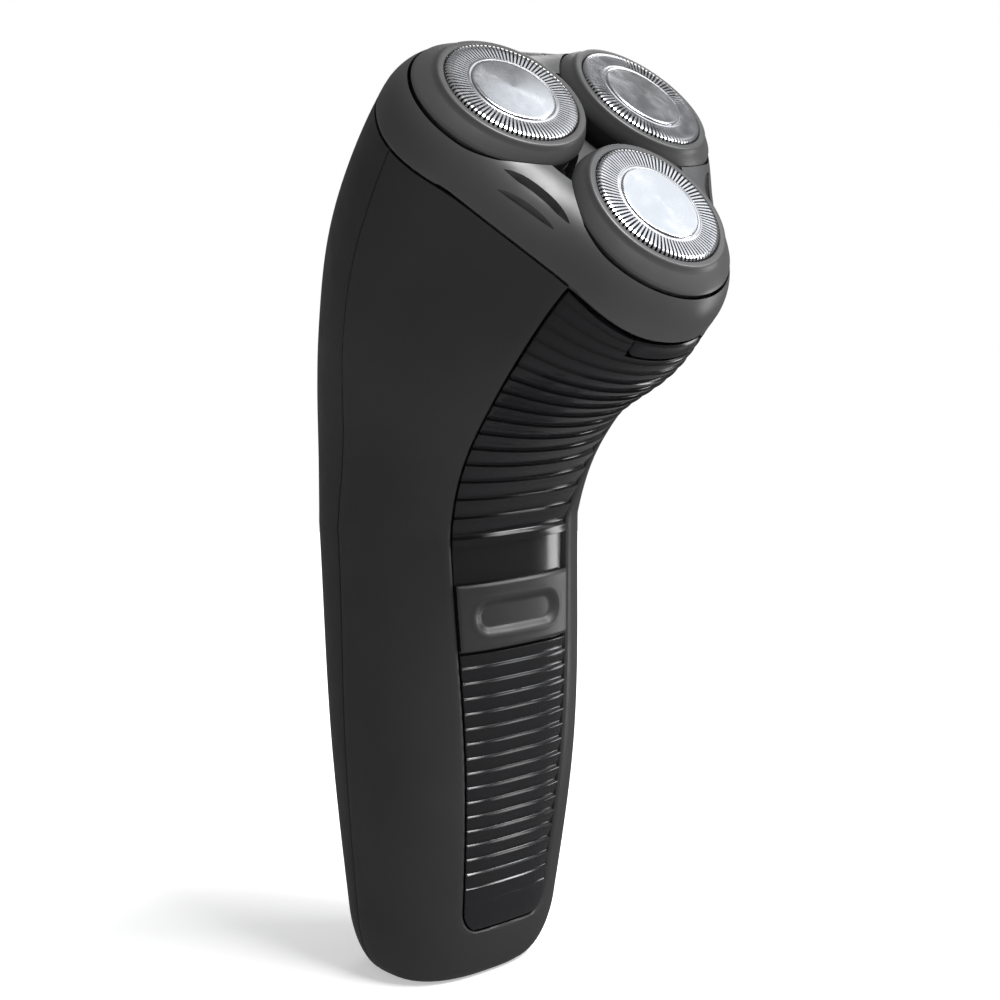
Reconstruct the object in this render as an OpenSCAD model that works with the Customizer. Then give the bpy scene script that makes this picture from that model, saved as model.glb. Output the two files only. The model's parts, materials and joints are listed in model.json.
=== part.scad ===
// Rotary electric shaver: an upright handle that leans forward into a tilted head with three round
// shaving units. The origin is on the flat foot, +Z runs up the handle and the grip panel faces -Y.

/* [Handle] */
// Height of the upright part of the handle
handle_h = 80; // [70:1:96]
// Half widths of the handle at its foot, middle and top
handle_half_w = [17.5, 21.6, 23.1]; // [14:0.1:30]
// Depths in front of the origin at the foot, middle and top
handle_front = [10.7, 15.5, 14.85]; // [8:0.05:22]
// Depths behind the origin at the foot, middle and top
handle_back = [15.85, 18.7, 19.8]; // [12:0.05:26]
// How square the handle's section is, where 2 is an ellipse
handle_square = 2.6; // [2:0.1:4]
// Width of the rounding round the foot
foot_round_w = 4.2; // [2:0.1:6]
// Height of the rounding round the foot
foot_round_h = 11; // [5:0.5:14]

/* [Neck] */
// How far the front of the neck hollows, at a quarter, half and three quarters of the way up
neck_front_dip = [1.1, 2.4, 0.8]; // [0:0.1:3]
// How far the back of the neck hollows, at the same places
neck_back_dip = [0, 2.9, 0.8]; // [0:0.1:4]
// How far the sides of the neck swell past a straight line, at the same places
neck_side_swell = [-1.8, -0.3, 0.8]; // [-3:0.1:3]

/* [Head] */
// Height of the middle of the head
head_h = 145; // [135:1:175]
// How far the middle of the head is in front of the origin
head_reach = 35; // [30:0.5:42]
// Forward tilt of the head
head_tilt = 44; // [38:0.5:50]
// Depth of the joint between head and neck below the shaving units
joint_depth = 10.9; // [10.5:0.1:13]
// Gap between the head and the neck at that joint
joint_gap = 0.35; // [0.2:0.05:0.6]
// Height of the dome above the joint
dome_h = 8.7; // [8:0.1:9.2]
// How far the dome draws in over its height behind a shaving unit
dome_draw_unit = 6.6; // [6:0.1:8]
// How far it draws in between two shaving units
dome_draw_side = 10.3; // [9:0.1:11]
// Radius of the open middle of the dome
valley_r = 15.3; // [14.5:0.1:16.5]

/* [Shaving units] */
// Radius of a round shaving guard
disc_r = 11; // [9:0.1:13.5]
// Outward tilt of each shaving unit
disc_tilt = 4.6; // [3:0.1:6]
// Width of the cup's lip round the guard
lip_w = 1.35; // [1:0.05:2]
// How much wider the cup is at its base than at its lip
cup_flare = 1.8; // [1:0.1:2.5]
// Depth of the cup's widest edge below the guard
cup_seam = 3.2; // [2.6:0.1:4]
// How far the cup's base leans outward
cup_lean = 1.05; // [0.4:0.05:1.4]
// Gap between the bases of two cups
cup_spacing = 1.25; // [1.1:0.05:2]
// Width of the collar outside the cups
collar_w = 2.9; // [2.8:0.1:4]
// Radius of the polished cap in the middle of each guard
cap_r = 6.9; // [5:0.1:8]
// Thickness of the shaving foil
foil_t = 0.35; // [0.25:0.05:0.5]
// Number of slots round each guard
slot_count = 30; // [20:1:45]

/* [Shells] */
// Wall of the housings
wall = 1.8; // [1.4:0.1:2.4]
// Thickness of the ribbed grip panel
panel_t = 1.6; // [1.2:0.1:2]
// Wall of the housing behind the grip panel
seat_wall = 1.3; // [1:0.1:2]
// Height of the grip panel's lower edge
panel_bottom = 10; // [8:0.5:20]
// Depth of the ribs
rib_depth = 0.6; // [0.3:0.1:0.9]
// Distance from rib to rib
rib_pitch = 2.6; // [2.2:0.1:3.4]

/* [Controls] */
// Height of the slide switch's lower edge when off
switch_bottom = 60.4; // [56:0.1:64]
// Height of the slide switch
switch_h = 11.1; // [9:0.1:13]
// Travel of the slide switch
switch_travel = 6; // [4:0.5:7]
// Width of the release button
button_w = 14; // [10:0.5:18]
// Height of the release button
button_h = 2.9; // [2.4:0.1:3.2]
// Travel of the release button
button_travel = 1.5; // [0.8:0.1:2]

/* [Drive] */
// Radius of the motor's can
motor_r = 10.5; // [9:0.5:11.5]
// Length of the motor's can
motor_len = 22; // [18:1:28]
// Tooth module of the gears
gear_module = 0.6; // [0.5:0.05:0.7]
// Teeth on the motor's pinion
pinion_teeth = 20; // [16:1:22]
// Thickness of the gears
gear_t = 1.8; // [1.2:0.1:2.4]

/* [Power] */
// Radius of a battery cell
cell_r = 7.1; // [6:0.1:7.5]
// Length of a battery cell
cell_len = 49; // [40:0.5:50]
// Width and depth of the power inlet's opening
inlet_size = [10.6, 5.4]; // [4.6:0.1:12]
// Depth of the power inlet
inlet_depth = 8; // [6:0.5:10]
// Radius of an inlet pin
inlet_pin_r = 0.8; // [0.5:0.05:1]
// Distance between the inlet pins
inlet_pin_gap = 6.6; // [6:0.1:7.5]

/* [Clearances] */
// Radial clearance of a running or sliding fit
running = 0.05; // [0.02:0.01:0.09]
// Clearance between parts that move past each other
free = 0.4; // [0.3:0.05:0.6]
// Visible gap between the panel, the switch, the button and the housing
seam = 0.3; // [0.15:0.05:0.4]

/* [Hidden] */
$fn = 64;
ANGLES = [150, 30, 270];
satin_black = [0.16, 0.16, 0.17];
gloss_black = [0.07, 0.07, 0.08];
dark_grey = [0.25, 0.25, 0.26];
steel = [0.75, 0.76, 0.79];

// ---- shared curves ----
function lerp(a, b, t) = a + (b - a) * t;
function before(p, i) = i == 0 ? 2 * p[0] - p[1] : p[i - 1];
function after(p, i) = i == len(p) - 2 ? 2 * p[i + 1] - p[i] : p[i + 2];
// Smooth curve through evenly spaced values, with t from 0 at the first to 1 at the last
function spline(p, t) =
    let (x = t * (len(p) - 1), i = min(floor(x), len(p) - 2), f = x - i)
    let (a = before(p, i), b = p[i], c = p[i + 1], d = after(p, i))
    0.5 * (2 * b + (c - a) * f + (2 * a - 5 * b + 4 * c - d) * f * f
        + (3 * b - a - 3 * c + d) * f * f * f);

// ---- shaving units and head outline ----
cup_lip_r = disc_r + running * 3 + lip_w;
cup_base_r = cup_lip_r + cup_flare;
disc_pitch = (2 * cup_base_r + cup_spacing) / sqrt(3) - cup_lean;
corner_r = cup_base_r + collar_w;
flange_r = disc_r + 0.6;
pocket_r = flange_r + running * 3;
head_half_w = disc_pitch * cos(30) + corner_r;
head_back = disc_pitch / 2 + corner_r;
head_front = disc_pitch + corner_r;

// Radius at angle a of a triangle with round corners of radius r, pointing to the front
function outline_r(a, r) =
    let (off = abs((a + 30) % 120 - 60))
    let (turn = atan2(r * sin(60), disc_pitch + r / 2))
    off < turn
        ? disc_pitch * cos(off) + sqrt(pow(r, 2) - pow(disc_pitch * sin(off), 2))
        : (disc_pitch / 2 + r) / cos(60 - off);

// ---- body skin: u runs from 0 at the foot to 1 at the top of the handle and 2 at the head ----
joint_y = -head_reach + joint_depth * sin(head_tilt);
joint_z = head_h - joint_depth * cos(head_tilt);
pivot_r = (joint_z - handle_h) / sin(head_tilt);
pivot_y = joint_y - pivot_r * cos(head_tilt);

function foot_in(z) =
    z < foot_round_h ? foot_round_w * (1 - sqrt(1 - pow(1 - z / foot_round_h, 2))) : 0;
function neck_line(from, to, swell) =
    [for (i = [0:4]) lerp(from, to, i / 4) + (i == 0 || i == 4 ? 0 : swell[i - 1])];
neck_w = neck_line(handle_half_w[2], head_half_w, neck_side_swell);
neck_front = neck_line(-pivot_y - handle_front[2], pivot_r - head_front, neck_front_dip);
neck_back = neck_line(-pivot_y + handle_back[2], pivot_r + head_back, -neck_back_dip);

function oval_r(a, w, front, back) =
    pow(pow(abs(cos(a)) / w, handle_square)
        + pow(abs(sin(a)) / (sin(a) < 0 ? front : back), handle_square), -1 / handle_square);
// Each section as [half width, front and back from the turning line, share of the head's outline]
function section(u) =
    u <= 1
        ? let (inset = foot_in(u * handle_h))
            [spline(handle_half_w, u) - inset,
                -pivot_y - spline(handle_front, u) + inset,
                -pivot_y + spline(handle_back, u) - inset, 0]
        : let (t = u - 1)
            [spline(neck_w, t), spline(neck_front, t), spline(neck_back, t), t * t * (3 - 2 * t)];
// Point on the skin at u and angle a, sunk inward by depth
function skin(u, a, depth = 0) =
    let (s = section(u), head = s[3], centre = lerp((s[1] + s[2]) / 2, pivot_r, head))
    let (oval = oval_r(a, s[0], centre - s[1], s[2] - centre))
    let (r = (head > 0 ? lerp(oval, outline_r(a, corner_r), head) : oval) - depth)
    let (tilt = u <= 1 ? 0 : (u - 1) * head_tilt, reach = centre + r * sin(a))
    [r * cos(a), pivot_y + reach * cos(tilt),
        (u <= 1 ? u * handle_h : handle_h) + reach * sin(tilt)];

// ---- building blocks ----
// Closed solid between an outer and an inner grid of points, both given row by row
module sheet_solid(outer, inner) {
    rows = len(outer);
    cols = len(outer[0]);
    half = rows * cols;
    function at(i, j) = i * cols + j;
    outside = [for (i = [0:rows - 2], j = [0:cols - 2])
        each [[at(i, j), at(i + 1, j + 1), at(i, j + 1)], [at(i, j), at(i + 1, j), at(i + 1, j + 1)]]];
    inside = [for (f = outside) [f[2] + half, f[1] + half, f[0] + half]];
    rim = concat([for (j = [0:cols - 1]) at(0, j)], [for (i = [1:rows - 1]) at(i, cols - 1)],
        [for (j = [cols - 2:-1:0]) at(rows - 1, j)], [for (i = [rows - 2:-1:1]) at(i, 0)]);
    edge = [for (k = [0:len(rim) - 1]) let (p = rim[k], q = rim[(k + 1) % len(rim)])
        each [[p, q, q + half], [p, q + half, p + half]]];
    polyhedron(concat([for (r = outer) each r], [for (r = inner) each r]),
        concat(outside, inside, edge), convexity = 8);
}
// Closed solid through a stack of rings with the same number of points
module ring_solid(rings) {
    n = len(rings[0]);
    top = (len(rings) - 1) * n;
    sides = [for (i = [0:len(rings) - 2], j = [0:n - 1]) let (k = (j + 1) % n)
        each [[i * n + j, (i + 1) * n + k, i * n + k], [i * n + j, (i + 1) * n + j, (i + 1) * n + k]]];
    polyhedron([for (r = rings) each r],
        concat(sides, [[for (j = [0:n - 1]) j]], [[for (j = [n - 1:-1:0]) top + j]]), convexity = 8);
}
// One moulded piece with its cuts
module moulded() {
    resize([0, 0, 0]) children();
}
// Coordinates of the head: z is 0 on the guards and points out of the head, y points to its back
module at_head() {
    translate([0, -head_reach, head_h]) rotate([head_tilt, 0, 0]) children();
}
// Coordinates of shaving unit i: x points outward from the middle of the head
module at_unit(i) {
    rotate(ANGLES[i - 1]) translate([disc_pitch, 0, 0]) rotate([0, disc_tilt, 0]) children();
}
module disc(r, z0, z1, hole = 0) {
    difference() {
        translate([0, 0, z0]) cylinder(r = r, h = z1 - z0);
        if (hole > 0) translate([0, 0, z0 - 1]) cylinder(r = hole, h = z1 - z0 + 2);
    }
}
module box(low, high) {
    translate(low) cube(high - low);
}
// Plate with the head's outline and corners of radius r
module head_outline(r) {
    tangent = [for (a = [30:120:270]) each [for (b = [a - 60, a + 60])
        [disc_pitch * cos(a) + r * cos(b), disc_pitch * sin(a) + r * sin(b)]]];
    polygon(tangent);
    for (a = ANGLES) translate(disc_pitch * [cos(a), sin(a)]) circle(r);
}
module head_plate(r, z0, z1) {
    translate([0, 0, z0]) linear_extrude(z1 - z0) union() head_outline(r);
}

// ---- shells ----
panel_u = panel_bottom / handle_h;
panel_spread = [34.5, 35.5, 40.5, 40.5, 35.5];
parting_rise = [12.5, 9, 4.5, 9.5, 14.5];
function panel_half(u) = spline(panel_spread, u / 2);
function parting(u) = spline(parting_rise, u / 2);
side_cols = 8;
seat_cols = 9;
step_angle = 0.5;
shell_rows = concat([for (i = [0:5]) panel_u * pow(i / 5, 1.5)], [panel_u + 0.003],
    [for (i = [1:8]) lerp(panel_u, 1, i / 8)], [for (i = [1:11]) 1 + i / 11]);
// Angles and depths across the front housing, from one parting line to the other
function front_cols(u) =
    let (side = [for (j = [0:side_cols]) lerp(180 - parting(u), 270 - panel_half(u), j / side_cols)])
    let (from = 270 - panel_half(u) + step_angle)
    concat([for (a = side) [a, 0]],
        [for (j = [0:seat_cols]) [lerp(from, 540 - from, j / seat_cols), 1]],
        [for (j = [side_cols:-1:0]) [540 - side[j], 0]]);
function front_depth(u, seat, inner) =
    seat == 1 && u > panel_u ? panel_t + (inner ? seat_wall : 0) : (inner ? wall : 0);

foot_plate_top = wall;
inlet_y = 4.4;
inlet_wall = 1;
module inlet_outline(grow) {
    end = (inlet_size[0] - inlet_size[1]) / 2;
    for (side = [-1, 1]) translate([side * end, 0]) circle(inlet_size[1] / 2 + grow);
    square([2 * end, inlet_size[1] + 2 * grow], center = true);
}
// Window for the slide switch's stem
stem_half_w = 3.4;
stem_h = 2;
stem_mid = switch_bottom + 3.6;
switch_mid = switch_bottom + switch_h / 2;
module stem_window(y_front) {
    box([-stem_half_w - free, y_front, stem_mid - stem_h / 2 - free],
        [stem_half_w + free, 0, stem_mid + stem_h / 2 + switch_travel + free]);
}
// Notch for the release button, in the coordinates of the head
button_top = -joint_depth - 2.3;
button_bottom = button_top - button_h;
module button_notch(gap) {
    at_head() box([-button_w / 2 - gap, -head_front - 5, button_bottom - gap],
        [button_w / 2 + gap, -head_front + 9, button_top + gap]);
}
hinge_rise = 2.9;
hinge_g = -joint_depth + hinge_rise;
hinge_r = 1.7;
hinge_pin_r = 0.8;
hinge_q = head_back - 0.7;
lug_root = -joint_depth - 2.2;
lug_in = 7.9;
lug_w = 3;
module lug_space(gap, low, high) {
    for (side = [-1, 1]) translate([side * (lug_in + lug_w / 2), hinge_q, 0])
        box([-lug_w / 2 - gap, -hinge_r - gap, low], [lug_w / 2 + gap, hinge_r + gap + 3, high]);
}

module front_housing() {
    color(satin_black) moulded() difference() {
        union() {
            sheet_solid(
                [for (u = shell_rows) [for (c = front_cols(u)) skin(u, c[0], front_depth(u, c[1], false))]],
                [for (u = shell_rows) [for (c = front_cols(u)) skin(u, c[0], front_depth(u, c[1], true))]]);
            linear_extrude(foot_plate_top) polygon([for (a = [0:6:354]) let (
                behind = a > parting(0) - 1 && a < 181 - parting(0),
                p = skin(0, a, behind ? wall + free : wall / 2)) [p[0], p[1]]]);
        }
        translate([0, inlet_y, -1]) linear_extrude(foot_plate_top + 2) inlet_outline(inlet_wall);
        stem_window(-20);
        button_notch(seam);
    }
}

screw_x = 9;
screw_z = 75;
screw_r = 1.1;
screw_head_r = 2.2;
screw_y = handle_back[2] - 1.8;
module rear_housing() {
    gap = 0.35;
    cols = [for (j = [0:14]) j / 14];
    color(satin_black) moulded() difference() {
        sheet_solid(
            [for (u = shell_rows)
                [for (c = cols) skin(u, lerp(parting(u) + gap, 180 - parting(u) - gap, c))]],
            [for (u = shell_rows)
                [for (c = cols) skin(u, lerp(parting(u) + gap, 180 - parting(u) - gap, c), wall)]]);
        for (side = [-1, 1]) translate([side * screw_x, 0, screw_z]) rotate([-90, 0, 0]) {
            cylinder(r = screw_r + running, h = 40, $fn = 24);
            translate([0, 0, screw_y]) cylinder(r = screw_head_r + running, h = 20, $fn = 24);
        }
        at_head() lug_space(seam, lug_root, 0);
    }
}

// ---- grip panel ----
window_low = switch_bottom - 0.6;
window_high = switch_bottom + switch_h + switch_travel + 0.4;
track_depth = 1;
neck_ribs = 17;
lower_ribs = floor((window_low - panel_bottom - 3) / rib_pitch);
function rib_rows(from, step, count) =
    [for (k = [0:count - 1]) each [[from + k * step, 0], [from + (k + 0.2) * step, rib_depth]]];
// Height or skin position of each row across the panel, with its depth
panel_rows = concat(
    [[panel_u + seam / handle_h, 0.3]],
    [for (r = rib_rows(window_low - lower_ribs * rib_pitch, rib_pitch, lower_ribs)) [r[0] / handle_h, r[1]]],
    [[window_low / handle_h, 0], [window_low / handle_h + 0.001, track_depth],
        [window_high / handle_h - 0.001, track_depth], [window_high / handle_h, 0]],
    rib_rows(0.985, 0.06, neck_ribs),
    [[1.985, 0.1]]);
module grip_panel() {
    cols = 11;
    function across(u, j) =
        let (from = 270 - panel_half(u) + step_angle + 0.6) lerp(from, 540 - from, j / cols);
    color(gloss_black) moulded() difference() {
        sheet_solid([for (r = panel_rows) [for (j = [0:cols]) skin(r[0], across(r[0], j), r[1])]],
            [for (r = panel_rows) [for (j = [0:cols]) skin(r[0], across(r[0], j), panel_t - 0.08)]]);
        stem_window(-20);
        button_notch(seam);
    }
}

// ---- switch ----
stem_back = -handle_front[2] + panel_t + seat_wall + free;
module slide_switch() {
    rows = 12;
    cols = 20;
    proud = 0.35;
    floor_gap = 0.2;
    finger = [9.5, 3.4, 1.1];
    heights = [for (i = [0:rows]) switch_bottom + switch_h * i / rows];
    function across(z, j) =
        let (u = z / handle_h, from = 270 - panel_half(u) + step_angle + 1.2)
        lerp(from, 540 - from, j / cols);
    function dish(p) =
        finger[2] * sqrt(max(0, 1 - pow(p[0] / finger[0], 2) - pow((p[2] - switch_mid) / finger[1], 2)));
    function face(z, j) = skin(z / handle_h, across(z, j));
    function sunk(z, j) = min(dish(face(z, j)), track_depth - floor_gap - 0.5) - proud;
    color(dark_grey) moulded() union() {
        sheet_solid(
            [for (z = heights) [for (j = [0:cols])
                skin(z / handle_h, across(z, j), sunk(z, j))]],
            [for (z = heights) [for (j = [0:cols])
                skin(z / handle_h, across(z, j), track_depth - floor_gap)]]);
        box([-stem_half_w, -handle_front[2] + 0.5, stem_mid - stem_h / 2],
            [stem_half_w, stem_back, stem_mid + stem_h / 2]);
    }
}
carrier_t = 1.4;
module switch_carrier() {
    color(dark_grey) union() {
        box([-8, stem_back, stem_mid - 5], [8, stem_back + carrier_t, stem_mid + 5]);
        for (side = [-1, 1]) box([side * 5 - 1, stem_back + carrier_t, stem_mid - 1],
            [side * 5 + 1, stem_back + carrier_t + 0.6, stem_mid + 1]);
    }
}

// ---- electrics ----
board_y = stem_back + carrier_t + 1;
board_t = 1.6;
board_z = [20, 84];
board_half_w = 11;
tray_y = board_y + board_t + 4.4;
tray_t = 1.6;
cell_y = tray_y + tray_t + cell_r + 0.2;
cell_x = cell_r + 0.25;
cell_z = 15.5;
tray_end_t = 1.5;
tray_half_w = 2 * cell_r + 1.4;
module circuit_board() {
    back = board_y + board_t;
    color("darkgreen") box([-board_half_w, board_y, board_z[0]], [board_half_w, back, board_z[1]]);
    // Middle across, lower edge, width, height and thickness of each component
    chips = [[-6, 28, 7, 6, 3], [5, 30, 6, 9, 3.6], [-5, 42, 8, 5, 2], [4, 48, 5, 5, 1.2]];
    color("dimgray") for (c = chips)
        box([c[0] - c[2] / 2, back, c[1]], [c[0] + c[2] / 2, back + c[4], c[1] + c[3]]);
    color("navy") translate([5, back + 2, 58]) cylinder(r = 2.05, h = 9);
}
module battery_tray() {
    depth = cell_y + 2;
    color("dimgray") difference() {
        union() {
            box([-tray_half_w, tray_y, cell_z - tray_end_t], [tray_half_w, tray_y + tray_t, screw_z + 4]);
            for (z = [cell_z - tray_end_t, cell_z + cell_len + 1.2])
                box([-tray_half_w, tray_y, z], [tray_half_w, depth, z + tray_end_t]);
            for (side = [-1, 1]) {
                translate([side * screw_x, tray_y, screw_z]) rotate([-90, 0, 0])
                    cylinder(r = 2.7, h = screw_y - 1 - tray_y - 0.4);
                box([side * 9 - 1.5, tray_y, foot_plate_top], [side * 9 + 1.5, tray_y + tray_t, cell_z]);
            }
        }
        for (side = [-1, 1]) translate([side * screw_x, tray_y + 3, screw_z]) rotate([-90, 0, 0])
            cylinder(r = screw_r, h = 40);
    }
}
module housing_screws() {
    color(steel) for (side = [-1, 1]) translate([side * screw_x, 0, screw_z]) rotate([-90, 0, 0]) {
        disc(screw_r, screw_y - 10, screw_y);
        difference() {
            disc(screw_head_r, screw_y, screw_y + 1);
            translate([0, 0, screw_y + 0.5]) for (turn = [0, 90]) rotate(turn)
                cube([2.6, 0.5, 1.2], center = true);
        }
    }
}
module battery_cells() {
    color("seagreen") for (side = [-1, 1]) translate([side * cell_x, cell_y, cell_z + 0.4]) {
        disc(cell_r, 0, cell_len - 0.8);
        disc(2.6, cell_len - 0.8, cell_len);
    }
}
module battery_tabs() {
    color(steel) {
        box([-cell_x - 3, cell_y - 3, cell_z], [cell_x + 3, cell_y + 3, cell_z + 0.4]);
        for (side = [-1, 1]) box([side * cell_x - 3, cell_y - 3, cell_z + cell_len + 0.4],
            [side * cell_x + 3, cell_y + 3, cell_z + cell_len + 0.8]);
    }
}
inlet_tail_r = 0.4;
module inlet_socket() {
    color("black") difference() {
        translate([0, inlet_y, 0]) linear_extrude(inlet_depth + 1.5) inlet_outline(inlet_wall);
        translate([0, inlet_y, -1]) linear_extrude(inlet_depth + 1) inlet_outline(0);
        inlet_pair(inlet_tail_r, 0, inlet_depth + 4);
    }
}
module inlet_pair(r, z0, z1) {
    for (side = [-1, 1]) translate([side * inlet_pin_gap / 2, inlet_y, 0]) disc(r, z0, z1);
}
module inlet_pins() {
    shoulder = inlet_depth - 0.2;
    color(steel) union() {
        inlet_pair(inlet_pin_r, 1.5, shoulder);
        inlet_pair(inlet_tail_r, shoulder - 0.1, inlet_depth + 3);
    }
}

// ---- drive, in the coordinates of the head ----
cover_top = -joint_depth - 0.9;
cover_t = 1.2;
gear_top = cover_top - cover_t - 2.2;
gear_low = gear_top - gear_t;
plate_top = gear_low - free;
plate_t = 1.6;
plate_low = plate_top - plate_t;
spindle_r = 1.6;
hub_r = 3;
journal_r = 2.2;
shaft_r = 1;
gear_teeth = round(2 * (disc_pitch - 5 * sin(disc_tilt)) / gear_module) - pinion_teeth;
gear_s = gear_module * (gear_teeth + pinion_teeth) / 2;
post_s = gear_s + 2.8;
post_r = 1.8;
gear_plate_r = corner_r - 7.3;
gear_cover_r = corner_r - wall - free - 1.4;
gear_screw_r = 0.9;
// Outline of an involute gear with n teeth, thinned a little for backlash
function involute(r, base) = sqrt(pow(r / base, 2) - 1) * 180 / PI - acos(base / r);
module gear_outline(n) {
    pitch = gear_module * n / 2;
    base = pitch * cos(20);
    root = pitch - 1.05 * gear_module;
    tip = pitch + 0.85 * gear_module;
    backlash = 0.09 / pitch * 180 / PI;
    half = 90 / n - backlash / 2;
    radii = [for (t = [0:3]) lerp(max(base, root) + 0.001, tip, t / 3)];
    function flank(r) = half + involute(pitch, base) - involute(r, base);
    points = [for (k = [0:n - 1]) let (a = k * 360 / n) each concat(
        [[root, a - flank(radii[0])]],
        [for (r = radii) [r, a - flank(r)]],
        [for (t = [3:-1:0]) [radii[t], a + flank(radii[t])]],
        [[root, a + flank(radii[0])]])];
    polygon([for (p = points) p[0] * [cos(p[1]), sin(p[1])]]);
}
pinion_step = 360 / pinion_teeth;
// Turn of drive gear i that puts its teeth in mesh with the pinion
function mesh_turn(i) =
    let (past = (ANGLES[i - 1] % pinion_step)) ANGLES[i - 1] + 180 + 180 / gear_teeth
        + past * pinion_teeth / gear_teeth;
module at_gear(i) {
    at_head() rotate(ANGLES[i - 1]) translate([gear_s, 0, 0]) rotate(-ANGLES[i - 1]) children();
}
module drive_gear(i) {
    floor_t = 0.4;
    color("white") at_gear(i) difference() {
        union() {
            translate([0, 0, gear_low]) rotate(mesh_turn(i)) linear_extrude(gear_t) gear_outline(gear_teeth);
            disc(hub_r, gear_top - 0.1, cover_top - cover_t - free);
            disc(journal_r, plate_low, gear_low + 0.1);
        }
        translate([0, 0, plate_low + floor_t]) cylinder(r = spindle_r + running, h = 20);
    }
}
spring_low = plate_low + 0.45;
spring_h = 2.6;
spindle_low = spring_low + spring_h;
hex_low = -7;
hex_top = -5.2;
module drive_spindle(i) {
    color("white") at_gear(i) union() {
        disc(spindle_r, spindle_low, hex_low);
        disc(0.8, spindle_low - 1.2, spindle_low + 0.1);
        translate([0, 0, hex_low - 0.1]) rotate(ANGLES[i - 1])
            cylinder(r = spindle_r, h = hex_top - hex_low + 0.1, $fn = 6);
    }
}
module spindle_spring(i) {
    wire = 0.18;
    coil_r = 1.2;
    turns = 4;
    steps = 14;
    sides = 6;
    total = turns * steps;
    color(steel) at_gear(i) ring_solid([for (k = [0:total]) let (a = k * 360 / steps)
        [for (s = [0:sides - 1]) let (b = -s * 360 / sides, r = coil_r + wire * cos(b))
            [r * cos(a), r * sin(a),
                spring_low + wire + (spring_h - 2 * wire) * k / total + wire * sin(b)]]]);
}
module gear_plate() {
    color("dimgray") at_head() difference() {
        union() {
            translate([0, 0, plate_low]) linear_extrude(plate_t) union() {
                head_outline(gear_plate_r);
                for (a = ANGLES) rotate(a + 60) translate([post_s, 0]) circle(post_r + 0.8);
            }
            disc(motor_r + 1.5, plate_low - 6, plate_low + 0.1);
            for (a = ANGLES) rotate(a + 60) translate([post_s, 0, 0])
                disc(post_r, plate_top - 0.1, cover_top - cover_t);
        }
        translate([0, 0, plate_low - 7]) cylinder(r = motor_r, h = 7);
        translate([0, 0, plate_low - 1]) cylinder(r = 3, h = plate_t + 2);
        for (a = ANGLES) {
            rotate(a) translate([gear_s, 0, plate_low - 1])
                cylinder(r = journal_r + running, h = plate_t + 2);
            rotate(a + 60) translate([post_s, 0, plate_top + 0.4]) cylinder(r = gear_screw_r, h = 20);
        }
    }
}
module gear_cover() {
    color("dimgray") at_head() difference() {
        head_plate(gear_cover_r, cover_top - cover_t, cover_top);
        for (a = ANGLES) {
            rotate(a) translate([gear_s, 0, cover_top - 5]) cylinder(r = spindle_r + 0.6, h = 10);
            rotate(a + 60) translate([post_s, 0, cover_top - 5]) cylinder(r = gear_screw_r, h = 10);
        }
        button_space();
    }
}
// Room behind the release button and its latch
module button_space() {
    box([-button_w / 2 - free, -head_front, button_bottom - free],
        [button_w / 2 + free, -head_front + wall + 3 + button_travel + free, 0]);
}
module gear_screws() {
    color(steel) at_head() for (a = ANGLES) rotate(a + 60) translate([post_s, 0, 0]) {
        disc(gear_screw_r, plate_top + 0.8, cover_top);
        disc(1.7, cover_top, cover_top + 0.7);
    }
}
motor_wall = 0.8;
motor_low = plate_low - motor_len;
end_cap_t = 2;
magnet_t = 1.7;
rotor_r = motor_r - motor_wall - magnet_t - free;
module motor_can() {
    color(steel) at_head() difference() {
        union() {
            disc(motor_r, motor_low, plate_low);
            disc(3, plate_low - 0.1, plate_low + 1.2);
        }
        translate([0, 0, motor_low - 1]) cylinder(r = motor_r - motor_wall, h = motor_len + 1 - motor_wall);
        translate([0, 0, motor_low]) cylinder(r = shaft_r + running, h = motor_len + 10);
    }
}
module motor_magnets() {
    outer = motor_r - motor_wall;
    color("dimgray") at_head() for (side = [0, 180]) rotate(side) intersection() {
        disc(outer, motor_low + 5, motor_low + motor_len - 3, outer - magnet_t);
        linear_extrude(100, center = true) polygon([[0, 0], [20, -20], [20, 20]]);
    }
}
module motor_rotor() {
    color("peru") at_head() difference() {
        union() {
            disc(rotor_r, motor_low + 6, motor_low + motor_len - 4);
            disc(2.6, motor_low + 3, motor_low + 6.1);
        }
        for (turn = [0:120:240]) rotate(turn) translate([rotor_r - 1.2, 0, motor_low + 5])
            box([0, -0.8, 0], [3, 0.8, motor_len]);
        translate([0, 0, motor_low]) cylinder(r = shaft_r, h = motor_len);
    }
}
module motor_end_cap() {
    color("ivory") at_head() difference() {
        union() {
            disc(motor_r - motor_wall, motor_low, motor_low + end_cap_t);
            disc(3, motor_low - 1.5, motor_low + 0.1);
            for (side = [-1, 1])
                box([side * 6 - 1, -0.25, motor_low - 3], [side * 6 + 1, 0.25, motor_low + 0.1]);
        }
        translate([0, 0, motor_low - 5]) cylinder(r = shaft_r + running, h = 20);
    }
}
module motor_shaft() {
    color(steel) at_head() disc(shaft_r, motor_low - 2, gear_top + 0.6);
}
module motor_pinion() {
    color("white") at_head() difference() {
        translate([0, 0, gear_low]) linear_extrude(gear_t) gear_outline(pinion_teeth);
        translate([0, 0, gear_low - 1]) cylinder(r = shaft_r, h = gear_t + 2);
    }
}

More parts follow.
